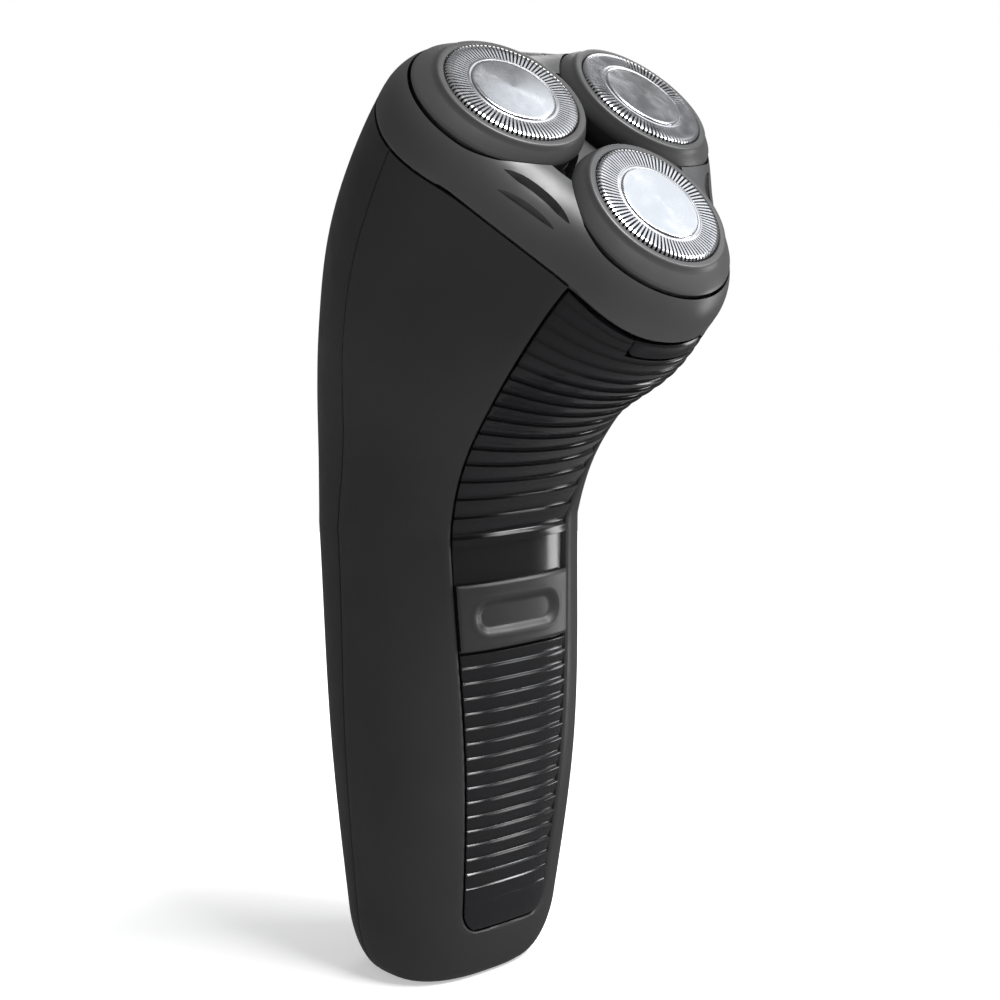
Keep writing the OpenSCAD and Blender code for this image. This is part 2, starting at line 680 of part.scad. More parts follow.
// ---- release button and hinge ----
module release_button() {
    us = [1.7:0.06:2.001];
    angles = [210:3:330];
    key_t = 1.6;
    bar_half_w = 4;
    bar_t = 1.2;
    hook_half_w = 2;
    latch_t = 0.8;
    latch_y = -head_front + panel_t + seat_wall + free;
    color(gloss_black) moulded() union() {
        intersection() {
            sheet_solid([for (u = us) [for (a = angles) skin(u, a)]],
                [for (u = us) [for (a = angles) skin(u, a, key_t)]]);
            at_head() box([-button_w / 2, -head_front - 3, button_bottom],
                [button_w / 2, latch_y + 4, button_top]);
        }
        at_head() {
            box([-bar_half_w, latch_y - 0.4, button_top - bar_t],
                [bar_half_w, latch_y + latch_t, button_top]);
            box([-hook_half_w, latch_y, button_top - 0.1],
                [hook_half_w, latch_y + latch_t, button_top + 2.4]);
        }
    }
}
module hinge_lugs() {
    color(satin_black) at_head() difference() {
        for (side = [-1, 1]) translate([side * (lug_in + lug_w / 2), hinge_q, hinge_g]) {
            rotate([0, 90, 0]) cylinder(r = hinge_r, h = lug_w, center = true);
            box([-lug_w / 2, -hinge_r + 0.3, lug_root - 0.2 - hinge_g], [lug_w / 2, 0.3, 0]);
        }
        translate([0, hinge_q, hinge_g]) rotate([0, 90, 0]) cylinder(r = hinge_pin_r, h = 60, center = true);
    }
}
module hinge_pin() {
    color(steel) at_head() translate([0, hinge_q, hinge_g]) rotate([0, 90, 0])
        cylinder(r = hinge_pin_r, h = 2 * (lug_in + lug_w), center = true);
}
module hinge_barrel() {
    color(dark_grey) at_head() difference() {
        union() {
            translate([0, hinge_q, hinge_g]) rotate([0, 90, 0])
                cylinder(r = hinge_r, h = 2 * (lug_in - seam), center = true);
            box([-lug_in + seam, hinge_q - 3, hinge_g - 0.9], [lug_in - seam, hinge_q, hinge_g + 0.9]);
        }
        translate([0, hinge_q, hinge_g]) rotate([0, 90, 0])
            cylinder(r = hinge_pin_r + running, h = 60, center = true);
    }
}

// ---- head ----
collar_wall = 1.6;
// How far the dome is drawn in at a height above the joint, as a share of its whole draw
function draw_share(rise) = 1 - sqrt(1 - pow(rise / dome_h, 2));
function dome_draw(a) =
    let (past = max(0, abs((a + 30) % 120 - 60) - 31) / 29)
    lerp(dome_draw_unit, dome_draw_side, past * past * (3 - 2 * past));
function dome_ring(rise, inset) = [for (a = [0:5:355])
    let (p = outline_r(a, corner_r - dome_draw(a) * draw_share(rise)) - inset)
    [p * cos(a), p * sin(a), rise - joint_depth - (rise == dome_h ? inset : 0)]];
// Space that a cup takes, grown by gap
module cup_space(gap) {
    hull() {
        translate([0, 0, -cup_top]) cylinder(r = cup_lip_r + gap, h = 10);
        translate([cup_lean, 0, -cup_seam]) cylinder(r = cup_base_r + gap, h = 0.01);
    }
    translate([cup_lean, 0, -cup_low - gap]) cylinder(r = cup_base_r + gap, h = cup_low - cup_seam + gap);
}
cup_top = 0.4;
cup_low = 6.5;
cup_skirt_r = cup_base_r - 0.9;
module head_frame() {
    color(dark_grey) at_head() moulded() difference() {
        ring_solid([for (h = [joint_gap, 2, 4, 6, 7.4, 8.2, dome_h]) dome_ring(h, 0)]);
        ring_solid([for (h = [0, 2, 4, 6, 7.4, dome_h]) dome_ring(h, collar_wall)]);
        for (i = [1:3]) at_unit(i) cup_space(free);
        translate([0, 0, -joint_depth]) cylinder(r = valley_r, h = 20);
        lug_space(seam, -20, hinge_g + hinge_r + seam);
        box([-lug_in, hinge_q - hinge_r - 1.2, -20], [lug_in, hinge_q + 5, hinge_g + hinge_r - 0.6]);
    }
}
pivot_z = -8.3;
nub_r = 0.7;
boss_top = -5;
frame_low = -10.6;
frame_t = 0.7;
module retaining_frame() {
    ring_s = disc_pitch - 10 * sin(disc_tilt);
    color("dimgray") at_head() union() {
        translate([0, 0, frame_low]) linear_extrude(frame_t) difference() {
            union() {
                circle(6.5);
                for (a = ANGLES) {
                    rotate(a) translate([ring_s, 0]) circle(flange_r + 0.5);
                    rotate(a + 60) translate([4, -2.5]) square([post_s - 3, 5]);
                }
            }
            circle(1.5 + running);
            for (a = ANGLES) rotate(a) translate([ring_s, 0]) circle(flange_r - 0.6);
        }
        difference() {
            disc(7.5, frame_low, boss_top);
            for (i = [1:3]) at_unit(i) translate([cup_lean, 0, -20]) cylinder(r = cup_base_r + free, h = 40);
            translate([0, 0, frame_low - 1]) cylinder(r = 1.5 + running, h = 2.6);
        }
        for (i = [1:3], side = [-1, 1]) at_unit(i) rotate(side * 90) translate([flange_r, 0, 0]) {
            translate([0, 0, pivot_z]) rotate([0, 90, 0]) cylinder(r = nub_r, h = 1.2);
            box([0, -nub_r, -10.2], [1.2, nub_r, pivot_z]);
        }
    }
}
module retaining_wheel() {
    color("ivory") at_head() union() {
        disc(5, cover_top + 0.1, frame_low);
        disc(1.5, frame_low - 0.1, frame_low + frame_t + 0.6);
        for (a = [0:60:300]) rotate(a) translate([5, 0, 0]) disc(0.9, cover_top + 0.1, frame_low);
    }
}
module head_cup(i) {
    color(dark_grey) at_head() at_unit(i) difference() {
        union() {
            hull() {
                translate([0, 0, -1.2]) cylinder(r = cup_lip_r, h = 1.2 - cup_top);
                translate([cup_lean, 0, -cup_seam]) cylinder(r = cup_base_r, h = 0.01);
            }
            translate([cup_lean, 0, -cup_low])
                cylinder(r1 = cup_skirt_r, r2 = cup_base_r, h = cup_low - cup_seam);
            disc(flange_r + 1, pivot_z, -5.5);
        }
        translate([0, 0, -20]) cylinder(r = pocket_r, h = 20 - 2.4);
        translate([0, 0, -20]) cylinder(r = disc_r + running * 3, h = 40);
        translate([0, 0, pivot_z]) rotate([90, 0, 0]) cylinder(r = nub_r + running, h = 40, center = true);
    }
}
skirt_z = -2.6;
module guard(i) {
    slot_w = 0.4;
    color(steel) at_head() at_unit(i) difference() {
        union() {
            disc(disc_r, skirt_z, 0);
            disc(flange_r, skirt_z - 0.5, skirt_z + 0.1);
        }
        translate([0, 0, -20]) cylinder(r = disc_r - 0.45, h = 20 - foil_t);
        translate([0, 0, -1]) cylinder(r = 1.2, h = 3);
        for (k = [0:slot_count - 1]) rotate(k * 360 / slot_count)
            box([cap_r + 0.5, -slot_w / 2, -1], [disc_r - 1, slot_w / 2, 1]);
    }
}
module guard_cap(i) {
    color(steel) at_head() at_unit(i) union() {
        disc(cap_r, 0, 0.35);
        disc(1.2, -3.2, 0.1);
    }
}
module cutter(i) {
    blades = 15;
    blade_top = -foil_t - 0.15;
    color(steel) at_head() at_unit(i) difference() {
        union() {
            disc(disc_r - 0.8, -2, -1.5, cap_r + 0.4);
            disc(3, -6.2, -1.5);
            for (a = [0:60:300]) rotate(a) box([2, -0.8, -2], [cap_r + 0.8, 0.8, -1.5]);
            for (k = [0:blades - 1]) rotate(k * 360 / blades)
                box([cap_r + 0.6, -0.25, -1.6], [disc_r - 0.9, 0.25, blade_top]);
        }
        translate([0, 0, -3.5]) cylinder(r = 1.2 + running, h = 10);
        translate([0, 0, -7]) cylinder(r = spindle_r + 0.55, h = 2.8, $fn = 6);
    }
}

front_housing();
rear_housing();
grip_panel();
slide_switch();
switch_carrier();
circuit_board();
battery_tray();
battery_cells();
battery_tabs();
inlet_socket();
inlet_pins();
housing_screws();
motor_can();
motor_magnets();
motor_end_cap();
motor_rotor();
motor_shaft();
motor_pinion();
gear_plate();
gear_screws();
gear_cover();
release_button();
hinge_lugs();
hinge_pin();
hinge_barrel();
head_frame();
retaining_frame();
retaining_wheel();
for (i = [1:3]) {
    drive_gear(i);
    drive_spindle(i);
    spindle_spring(i);
    head_cup(i);
    guard(i);
    guard_cap(i);
    cutter(i);
}
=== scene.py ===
"""Looks for an electric shaver with three round shaving units, built around its CAD frame."""

import json
from math import atan2, cos, degrees, hypot, pi, radians, sin, sqrt

import bmesh
import bpy
import numpy as np
from bpy.props import FloatProperty, FloatVectorProperty, IntProperty, PointerProperty
from bpy.types import Operator, Panel, PropertyGroup
from mathutils import Matrix, Vector


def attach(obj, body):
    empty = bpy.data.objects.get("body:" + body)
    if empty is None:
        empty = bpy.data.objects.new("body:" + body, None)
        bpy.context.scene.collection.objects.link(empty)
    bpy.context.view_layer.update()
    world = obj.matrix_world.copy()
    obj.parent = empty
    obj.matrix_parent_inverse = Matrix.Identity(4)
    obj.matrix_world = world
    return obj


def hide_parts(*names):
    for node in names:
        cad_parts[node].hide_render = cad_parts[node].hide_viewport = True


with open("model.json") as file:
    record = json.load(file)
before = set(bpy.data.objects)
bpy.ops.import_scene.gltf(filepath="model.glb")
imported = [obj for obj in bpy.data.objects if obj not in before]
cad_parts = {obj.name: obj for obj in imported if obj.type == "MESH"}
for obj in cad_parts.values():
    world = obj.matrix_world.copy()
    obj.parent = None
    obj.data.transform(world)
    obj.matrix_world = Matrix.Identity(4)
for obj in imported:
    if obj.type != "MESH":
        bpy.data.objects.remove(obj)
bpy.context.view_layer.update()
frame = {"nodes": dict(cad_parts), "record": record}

bl_info = {
    "name": "Rotary Shaver Looks",
    "version": (1, 0, 0),
    "blender": (4, 5, 0),
    "location": "View3D > Sidebar > Shaver",
    "description": "Builds the visible pieces and finishes of a rotary shaver",
    "category": "Object",
}

# Sizes in millimetres, the same as the CAD part's
MM = 0.001
# Handle and neck: half width, front and back at the foot, the middle and the top of the handle
HANDLE_H = 80.0
HALF_W = (17.5, 21.6, 23.1)
FRONT = (10.7, 15.5, 14.85)
BACK = (15.85, 18.7, 19.8)
SQUARE = 2.6
FOOT_W, FOOT_H = 4.2, 11.0
# How far the neck's lines leave a straight run from the handle to the head
FRONT_DIP = (1.1, 2.4, 0.8)
BACK_DIP = (0.0, 2.9, 0.8)
SIDE_SWELL = (-1.8, -0.3, 0.8)
# Head: its plane, its joint with the neck, and the dome of the collar
HEAD_H, HEAD_REACH, HEAD_TILT = 145.0, 35.0, 44.0
JOINT_DEPTH, JOINT_GAP = 10.9, 0.35
DOME_H, DRAW_UNIT, DRAW_SIDE, VALLEY_R = 8.7, 6.6, 10.3, 15.3
# Shaving units and their cups
DISC_R, DISC_TILT, LIP_W = 11.0, 4.6, 1.35
CUP_FLARE, CUP_SEAM, CUP_LEAN, CUP_SPACING, COLLAR_W = 1.8, 3.2, 1.05, 1.25, 2.9
CUP_TOP, CUP_LOW = 0.4, 6.5
ANGLES = (150, 30, 270)
# Walls and clearances
WALL, PANEL_T, SEAT_WALL, PANEL_BOTTOM = 1.8, 1.6, 1.3, 10.0
RUNNING, FREE, SEAM = 0.05, 0.4, 0.3
# Switch and release button
SWITCH_BOTTOM, SWITCH_H, SWITCH_TRAVEL = 60.4, 11.1, 6.0
BUTTON_W, BUTTON_H = 14.0, 2.9

# Sizes in millimetres of what only the looks have
JOINT_DIP = 1.9
JOINT_BLEND_U = 1.85
PANEL_CORNER = 4.0
COLLAR_WALL = 1.6
STEM_HALF_W, STEM_H, STEM_RISE = 3.4, 2.0, 2.6
SCREW_X, SCREW_Z, SCREW_HOLE_R, SCREW_HEAD_R, SCREW_SEAT = 9.0, 75.0, 1.15, 2.25, 1.8
INLET_Y, INLET_R, INLET_HALF_GAP = 4.4, 2.7, 2.6

CUP_LIP_R = DISC_R + 3 * RUNNING + LIP_W
CUP_BASE_R = CUP_LIP_R + CUP_FLARE
DISC_PITCH = (2 * CUP_BASE_R + CUP_SPACING) / sqrt(3) - CUP_LEAN
CORNER_R = CUP_BASE_R + COLLAR_W
FLANGE_R = DISC_R + 0.6
POCKET_R = FLANGE_R + 3 * RUNNING
HEAD_HALF_W = DISC_PITCH * cos(radians(30)) + CORNER_R
HEAD_BACK = DISC_PITCH / 2 + CORNER_R
HEAD_FRONT = DISC_PITCH + CORNER_R
TILT = radians(HEAD_TILT)
JOINT_Y = -HEAD_REACH + JOINT_DEPTH * sin(TILT)
JOINT_Z = HEAD_H - JOINT_DEPTH * cos(TILT)
PIVOT_R = (JOINT_Z - HANDLE_H) / sin(TILT)
PIVOT_Y = JOINT_Y - PIVOT_R * cos(TILT)
PANEL_U = PANEL_BOTTOM / HANDLE_H
HINGE_G = -JOINT_DEPTH + 2.9
HINGE_R, HINGE_Q = 1.7, HEAD_BACK - 0.7
LUG_IN, LUG_W, LUG_ROOT = 7.9, 3.0, -JOINT_DEPTH - 2.2
BUTTON_TOP = -JOINT_DEPTH - 2.3
BUTTON_BOTTOM = BUTTON_TOP - BUTTON_H

HEAD = Matrix.Translation((0, -HEAD_REACH, HEAD_H)) @ Matrix.Rotation(TILT, 4, "X")


def unit_matrix(i):
    """Place of shaving unit i: x points outward from the middle of the head, z out of the disc."""
    return (
        HEAD
        @ Matrix.Rotation(radians(ANGLES[i - 1]), 4, "Z")
        @ Matrix.Translation((DISC_PITCH, 0, 0))
        @ Matrix.Rotation(radians(DISC_TILT), 4, "Y")
    )


# ---- shared curves ----
def spline(p, t):
    """Smooth curve through evenly spaced values."""
    x = t * (len(p) - 1)
    i = min(int(x), len(p) - 2)
    f = x - i
    b, c = p[i], p[i + 1]
    a = 2 * b - c if i == 0 else p[i - 1]
    d = 2 * c - b if i == len(p) - 2 else p[i + 2]
    return 0.5 * (
        2 * b + (c - a) * f + (2 * a - 5 * b + 4 * c - d) * f * f + (3 * b - a - 3 * c + d) * f**3
    )


def smooth(t):
    t = np.clip(t, 0.0, 1.0)
    return t * t * (3 - 2 * t)


def mix(a, b, t):
    return a + (b - a) * t


def outline_r(a, r):
    """Radius at angle a, in degrees, of a triangle with corners of radius r pointing to the front."""
    off = np.abs((np.asarray(a, float) + 30) % 120 - 60)
    r = np.broadcast_to(np.asarray(r, float), off.shape)
    turn = np.degrees(np.arctan2(r * sin(pi / 3), DISC_PITCH + r / 2))
    o = np.radians(off)
    arc = DISC_PITCH * np.cos(o) + np.sqrt(np.maximum(r**2 - (DISC_PITCH * np.sin(o)) ** 2, 0))
    flat = (DISC_PITCH / 2 + r) / np.cos(pi / 3 - o)
    return np.where(off < turn, arc, flat)


def neck_line(a, b, swell):
    return [mix(a, b, i / 4) + (0 if i in (0, 4) else swell[i - 1]) for i in range(5)]


NECK_W = neck_line(HALF_W[2], HEAD_HALF_W, SIDE_SWELL)
NECK_FRONT = neck_line(-PIVOT_Y - FRONT[2], PIVOT_R - HEAD_FRONT, FRONT_DIP)
NECK_BACK = neck_line(-PIVOT_Y + BACK[2], PIVOT_R + HEAD_BACK, [-x for x in BACK_DIP])


def skin(u, angle, depth=0.0):
    """Points of the body's skin: u is 0 at the foot, 1 at the top of the handle and 2 at the head."""
    a = np.radians(np.asarray(angle, float))
    if u <= 1:
        z = max(u, 0.0) * HANDLE_H
        inset = FOOT_W * (1 - sqrt(max(0, 1 - (1 - z / FOOT_H) ** 2))) if z < FOOT_H else 0
        w = spline(HALF_W, max(u, 0.0)) - inset
        f = -PIVOT_Y - spline(FRONT, max(u, 0.0)) + inset
        b = -PIVOT_Y + spline(BACK, max(u, 0.0)) - inset
        head = 0.0
    else:
        t = u - 1
        w, f, b = spline(NECK_W, t), spline(NECK_FRONT, t), spline(NECK_BACK, t)
        head = t * t * (3 - 2 * t)
    centre = mix((f + b) / 2, PIVOT_R, head)
    side = np.where(np.sin(a) < 0, centre - f, b - centre)
    r = (np.abs(np.cos(a) / w) ** SQUARE + np.abs(np.sin(a) / side) ** SQUARE) ** (-1 / SQUARE)
    if head > 0:
        r = mix(r, outline_r(angle, CORNER_R), head)
    r = r - depth
    tilt = 0 if u <= 1 else (u - 1) * TILT
    reach = centre + r * np.sin(a)
    low = u * HANDLE_H if u <= 1 else HANDLE_H
    return np.stack([r * np.cos(a), PIVOT_Y + reach * cos(tilt), low + reach * sin(tilt)], -1)


def reach_of(a):
    """Distance of the head's outline at angle a from the line that the neck's sections turn about."""
    return PIVOT_R + float(outline_r(np.array([a]), CORNER_R)[0]) * sin(radians(a))


def joint_dip(a):
    """How far the joint between head and neck dips below its plane, under each shaving unit."""
    off = abs((a + 30) % 120 - 60)
    return JOINT_DIP * float(1 - smooth((off - 8) / 34))


def on_skin(u, a, depth=0.0):
    """Skin point whose rows settle onto the dipping joint toward the head."""
    if u > JOINT_BLEND_U:
        top = 2 - joint_dip(a) / (reach_of(a) * TILT)
        u = mix(JOINT_BLEND_U, top, (u - JOINT_BLEND_U) / (2 - JOINT_BLEND_U))
    return skin(u, a, depth)


def panel_half(u):
    """Half width of the grip panel, in degrees, with its round lower corners."""
    half = spline((34.5, 35.5, 40.5, 40.5, 35.5), min(u, 2.0) / 2)
    rise, corner = (u - PANEL_U) * HANDLE_H, PANEL_CORNER
    if rise < corner:
        rise = max(rise, 0.0)
        half -= (corner - sqrt(max(0.0, corner**2 - (corner - rise) ** 2))) * 2.75
    return half


def parting(u):
    return spline((12.5, 9, 4.5, 9.5, 14.5), min(max(u, 0), 2.0) / 2)


# ---- mesh helpers ----
def mesh_of(name, verts, faces, matrix=None):
    """A mesh with outward faces from points in millimetres, with matrix worked into them."""
    points = np.asarray(verts, float)
    if matrix is not None:
        m = np.array(matrix)
        points = points @ m[:3, :3].T + m[:3, 3]
    mesh = bpy.data.meshes.new(name)
    mesh.from_pydata([tuple(p) for p in points * MM], [], faces)
    return mesh


def tidied(mesh, merge):
    """Joins points closer than merge metres, if it isn't 0, and turns the faces outward."""
    bm = bmesh.new()
    bm.from_mesh(mesh)
    if merge:
        bmesh.ops.remove_doubles(bm, verts=bm.verts, dist=merge)
    bmesh.ops.recalc_face_normals(bm, faces=bm.faces)
    bm.to_mesh(mesh)
    bm.free()


def new_piece(name, verts, faces, body, slot, stands_for=(), matrix=None, angle=35, materials=()):
    """A mesh object from points in millimetres, riding on a body."""
    mesh = mesh_of(name, verts, faces, matrix)
    tidied(mesh, 1e-7)
    piece = bpy.data.objects.new(name, mesh)
    bpy.context.scene.collection.objects.link(piece)
    for material in materials or (finish(slot),):
        mesh.materials.append(material)
    soften(mesh, angle)
    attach(piece, body)
    if stands_for:
        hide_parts(*stands_for)
    return piece


def soften(mesh, angle):
    """Smooth shading, with edges over the angle left sharp."""
    for poly in mesh.polygons:
        poly.use_smooth = True
    mesh.set_sharp_from_angle(angle=radians(angle))


def grid_quads(rows, cols, wrap_rows=False, wrap_cols=False):
    """Faces of a grid of points, closed on itself along the wrapped ways."""
    quads = []
    for i in range(rows if wrap_rows else rows - 1):
        for j in range(cols if wrap_cols else cols - 1):
            i2, j2 = (i + 1) % rows, (j + 1) % cols
            quads.append((i * cols + j, i * cols + j2, i2 * cols + j2, i2 * cols + j))
    return quads


def sheet(outer, inner):
    """Closed solid between two grids of points."""
    rows, cols = outer.shape[:2]
    half = rows * cols
    faces = grid_quads(rows, cols)
    faces += [tuple(half + k for k in reversed(q)) for q in grid_quads(rows, cols)]
    rim = list(range(cols))
    rim += [i * cols + cols - 1 for i in range(1, rows)]
    rim += [(rows - 1) * cols + j for j in range(cols - 2, -1, -1)]
    rim += [i * cols for i in range(rows - 2, 0, -1)]
    for k, p in enumerate(rim):
        q = rim[(k + 1) % len(rim)]
        faces.append((q, p, p + half, q + half))
    return np.concatenate([outer.reshape(-1, 3), inner.reshape(-1, 3)]), faces


def stack(rings):
    """Closed solid through rings with the same number of points."""
    rings = np.asarray(rings, float)
    count, n = rings.shape[:2]
    faces = grid_quads(count, n, wrap_cols=True)
    faces += [tuple(range(n - 1, -1, -1)), tuple((count - 1) * n + j for j in range(n))]
    return rings.reshape(-1, 3), faces


def turned_rings(profile, n, lean):
    """Circles of n points for rows of (r, z), each shifted along x by lean."""
    a = np.arange(n) * 2 * pi / n
    return np.array(
        [
            np.stack([shift + r * np.cos(a), r * np.sin(a), np.full(n, z)], -1)
            for (r, z), shift in zip(profile, lean or [0.0] * len(profile))
        ]
    )


def turned(profile, n, lean):
    """Closed ring turned about z from a closed profile of (r, z)."""
    rings = turned_rings(profile, n, lean)
    return rings.reshape(-1, 3), grid_quads(len(profile), n, wrap_rows=True, wrap_cols=True)


def rod_solid(profile, n=96, lean=()):
    """Solid turned about z through rows of (r, z), closed at both ends."""
    return stack(turned_rings(profile, n, lean))


def helper(verts, faces, matrix=None):
    """A solid that cuts another one and is then gone."""
    mesh = mesh_of("cut", verts, faces, matrix)
    tidied(mesh, 0)
    cutter = bpy.data.objects.new("cut", mesh)
    bpy.context.scene.collection.objects.link(cutter)
    return cutter


def box_solid(low, high):
    """Box between two corners."""
    x, y, z = zip(low, high)
    verts = [(x[i], y[j], z[k]) for i in (0, 1) for j in (0, 1) for k in (0, 1)]
    return verts, [(0, 1, 3, 2), (4, 6, 7, 5), (0, 4, 5, 1), (2, 3, 7, 6), (0, 2, 6, 4), (1, 5, 7, 3)]


def cut(piece, cutters, angle=35):
    """Takes the cutters out of the piece for good."""
    for cutter in cutters:
        tool = piece.modifiers.new("cut", "BOOLEAN")
        tool.operation = "DIFFERENCE"
        tool.solver = "EXACT"
        tool.object = cutter
        dg = bpy.context.evaluated_depsgraph_get()
        mesh = bpy.data.meshes.new_from_object(piece.evaluated_get(dg))
        piece.modifiers.remove(tool)
        old = piece.data
        piece.data = mesh
        bpy.data.meshes.remove(old)
        old = cutter.data
        bpy.data.objects.remove(cutter)
        bpy.data.meshes.remove(old)
    mesh = piece.data
    bm = bmesh.new()
    bm.from_mesh(mesh)
    bmesh.ops.remove_doubles(bm, verts=bm.verts, dist=2e-7)
    bmesh.ops.dissolve_degenerate(bm, edges=bm.edges, dist=2e-7)
    bm.to_mesh(mesh)
    bm.free()
    soften(mesh, angle)
    if not mesh.polygons:
        raise RuntimeError(f"{piece.name} has no faces left after its cuts")


# ---- finishes ----
def nodes_of(name):
    """A new material with its node tree, its shader and its place texture."""
    material = bpy.data.materials.new(name)
    material.use_nodes = True
    tree = material.node_tree
    shader = next(n for n in tree.nodes if n.type == "BSDF_PRINCIPLED")
    where = tree.nodes.new("ShaderNodeTexCoord")
    return material, tree, shader, where.outputs["Object"]


def noise(tree, where, scale, detail, stretch=(1, 1, 1)):
    mapping = tree.nodes.new("ShaderNodeMapping")
    mapping.inputs["Scale"].default_value = stretch
    tree.links.new(where, mapping.inputs["Vector"])
    texture = tree.nodes.new("ShaderNodeTexNoise")
    texture.inputs["Scale"].default_value = scale
    texture.inputs["Detail"].default_value = detail
    tree.links.new(mapping.outputs["Vector"], texture.inputs["Vector"])
    return texture.outputs["Fac"]


def ramp(tree, value, low, high, start=0.3, end=0.7):
    node = tree.nodes.new("ShaderNodeValToRGB")
    node.color_ramp.elements[0].position = start
    node.color_ramp.elements[1].position = end
    for element, level in zip(node.color_ramp.elements, (low, high)):
        element.color = (*level, 1) if hasattr(level, "__len__") else (level, level, level, 1)
    tree.links.new(value, node.inputs["Fac"])
    return node.outputs["Color"]


def bump(tree, shader, value, height, strength):
    node = tree.nodes.new("ShaderNodeBump")
    node.inputs["Strength"].default_value = strength
    node.inputs["Distance"].default_value = height
    tree.links.new(value, node.inputs["Height"])
    tree.links.new(node.outputs["Normal"], shader.inputs["Normal"])


def scaled(colour, factor):
    return tuple(min(1.0, c * factor) for c in colour)


def moulded_plastic(name, colour, rough, grain, specular=0.5, spread=0.05, grain_scale=4200):
    """Moulded plastic: spark grain, faint cloudy variation in colour and gloss."""
    material, tree, shader, where = nodes_of(name)
    cloud = noise(tree, where, 55, 4)
    tint = ramp(tree, cloud, scaled(colour, 0.93), scaled(colour, 1.07))
    tree.links.new(tint, shader.inputs["Base Color"])
    smear = noise(tree, where, 210, 5)
    tree.links.new(ramp(tree, smear, rough - spread, rough + spread), shader.inputs["Roughness"])
    shader.inputs["Specular IOR Level"].default_value = specular
    bump(tree, shader, noise(tree, where, grain_scale, 2), 0.00002, grain)
    return material


def vector_math(tree, operation, first, second=None):
    """Result of a vector operation on sockets or fixed vectors."""
    node = tree.nodes.new("ShaderNodeVectorMath")
    node.operation = operation
    for socket, value in zip(node.inputs, (first, second)):
        if hasattr(value, "is_linked"):
            tree.links.new(value, socket)
        elif value is not None:
            socket.default_value = value
    return node.outputs["Value" if operation == "LENGTH" else "Vector"]


def turned_metal(name, colour, rough, line, unit, anisotropy=0.0):
    """Metal with fine turning lines round the axis of a shaving unit."""
    material, tree, shader, where = nodes_of(name)
    frame_of = unit_matrix(unit)
    centre = tuple(frame_of.translation * MM)
    axis = tuple(frame_of.col[2].to_3d())
    shader.inputs["Metallic"].default_value = 1.0
    shader.inputs["Anisotropic"].default_value = anisotropy
    away = vector_math(tree, "SUBTRACT", where, centre)
    along = vector_math(tree, "CROSS_PRODUCT", away, axis)
    distance = vector_math(tree, "LENGTH", along)
    rings = tree.nodes.new("ShaderNodeTexNoise")
    rings.noise_dimensions = "1D"
    rings.inputs["Scale"].default_value = 6000
    rings.inputs["Detail"].default_value = 4
    tree.links.new(distance, rings.inputs["W"])
    tint = ramp(tree, rings.outputs["Fac"], scaled(colour, 0.9), colour)
    tree.links.new(tint, shader.inputs["Base Color"])
    gloss = ramp(tree, noise(tree, where, 500, 4), rough * 0.75, rough * 1.3)
    tree.links.new(gloss, shader.inputs["Roughness"])
    if anisotropy:
        turn = tree.nodes.new("ShaderNodeVectorTransform")
        turn.vector_type = "VECTOR"
        turn.convert_from, turn.convert_to = "OBJECT", "WORLD"
        tree.links.new(vector_math(tree, "NORMALIZE", along), turn.inputs[0])
        tree.links.new(turn.outputs[0], shader.inputs["Tangent"])
    bump(tree, shader, rings.outputs["Fac"], 0.000004, line)
    return material


def plain_metal(name, colour, rough):
    """Rolled or plated metal with a faint grain; its near-black version on the guards' slot floors is
    painted shade.
    """
    material, tree, shader, where = nodes_of(name)
    shader.inputs["Metallic"].default_value = 1.0
    streak = noise(tree, where, 1800, 4, (1, 1, 0.15))
    tree.links.new(ramp(tree, streak, scaled(colour, 0.85), colour), shader.inputs["Base Color"])
    gloss = ramp(tree, noise(tree, where, 400, 4), rough * 0.7, rough * 1.35)
    tree.links.new(gloss, shader.inputs["Roughness"])
    bump(tree, shader, streak, 0.00001, 0.25)
    return material


def printed_board(name):
    """Green board: traces as cell edges, with mottled lacquer."""
    material, tree, shader, where = nodes_of(name)
    cells = tree.nodes.new("ShaderNodeTexVoronoi")
    cells.feature = "DISTANCE_TO_EDGE"
    cells.inputs["Scale"].default_value = 420
    cells.inputs["Randomness"].default_value = 0.35
    tree.links.new(where, cells.inputs["Vector"])
    tint = ramp(tree, cells.outputs["Distance"], (0.02, 0.16, 0.06), (0.006, 0.07, 0.025), 0.05, 0.08)
    tree.links.new(tint, shader.inputs["Base Color"])
    shader.inputs["Roughness"].default_value = 0.35
    bump(tree, shader, cells.outputs["Distance"], 0.00003, 0.4)
    return material


def wound_copper(name):
    """Enamelled wire laid side by side."""
    material, tree, shader, where = nodes_of(name)
    shader.inputs["Metallic"].default_value = 0.85
    wave = tree.nodes.new("ShaderNodeTexWave")
    wave.bands_direction = "X"
    wave.inputs["Scale"].default_value = 900
    wave.inputs["Distortion"].default_value = 1.2
    tree.links.new(where, wave.inputs["Vector"])
    tint = ramp(tree, wave.outputs["Fac"], (0.16, 0.05, 0.02), (0.62, 0.26, 0.11))
    tree.links.new(tint, shader.inputs["Base Color"])
    shader.inputs["Roughness"].default_value = 0.3
    bump(tree, shader, wave.outputs["Fac"], 0.00008, 0.7)
    return material


FINISHES = {}
TURNED = ("foil_steel", "polished_cap")


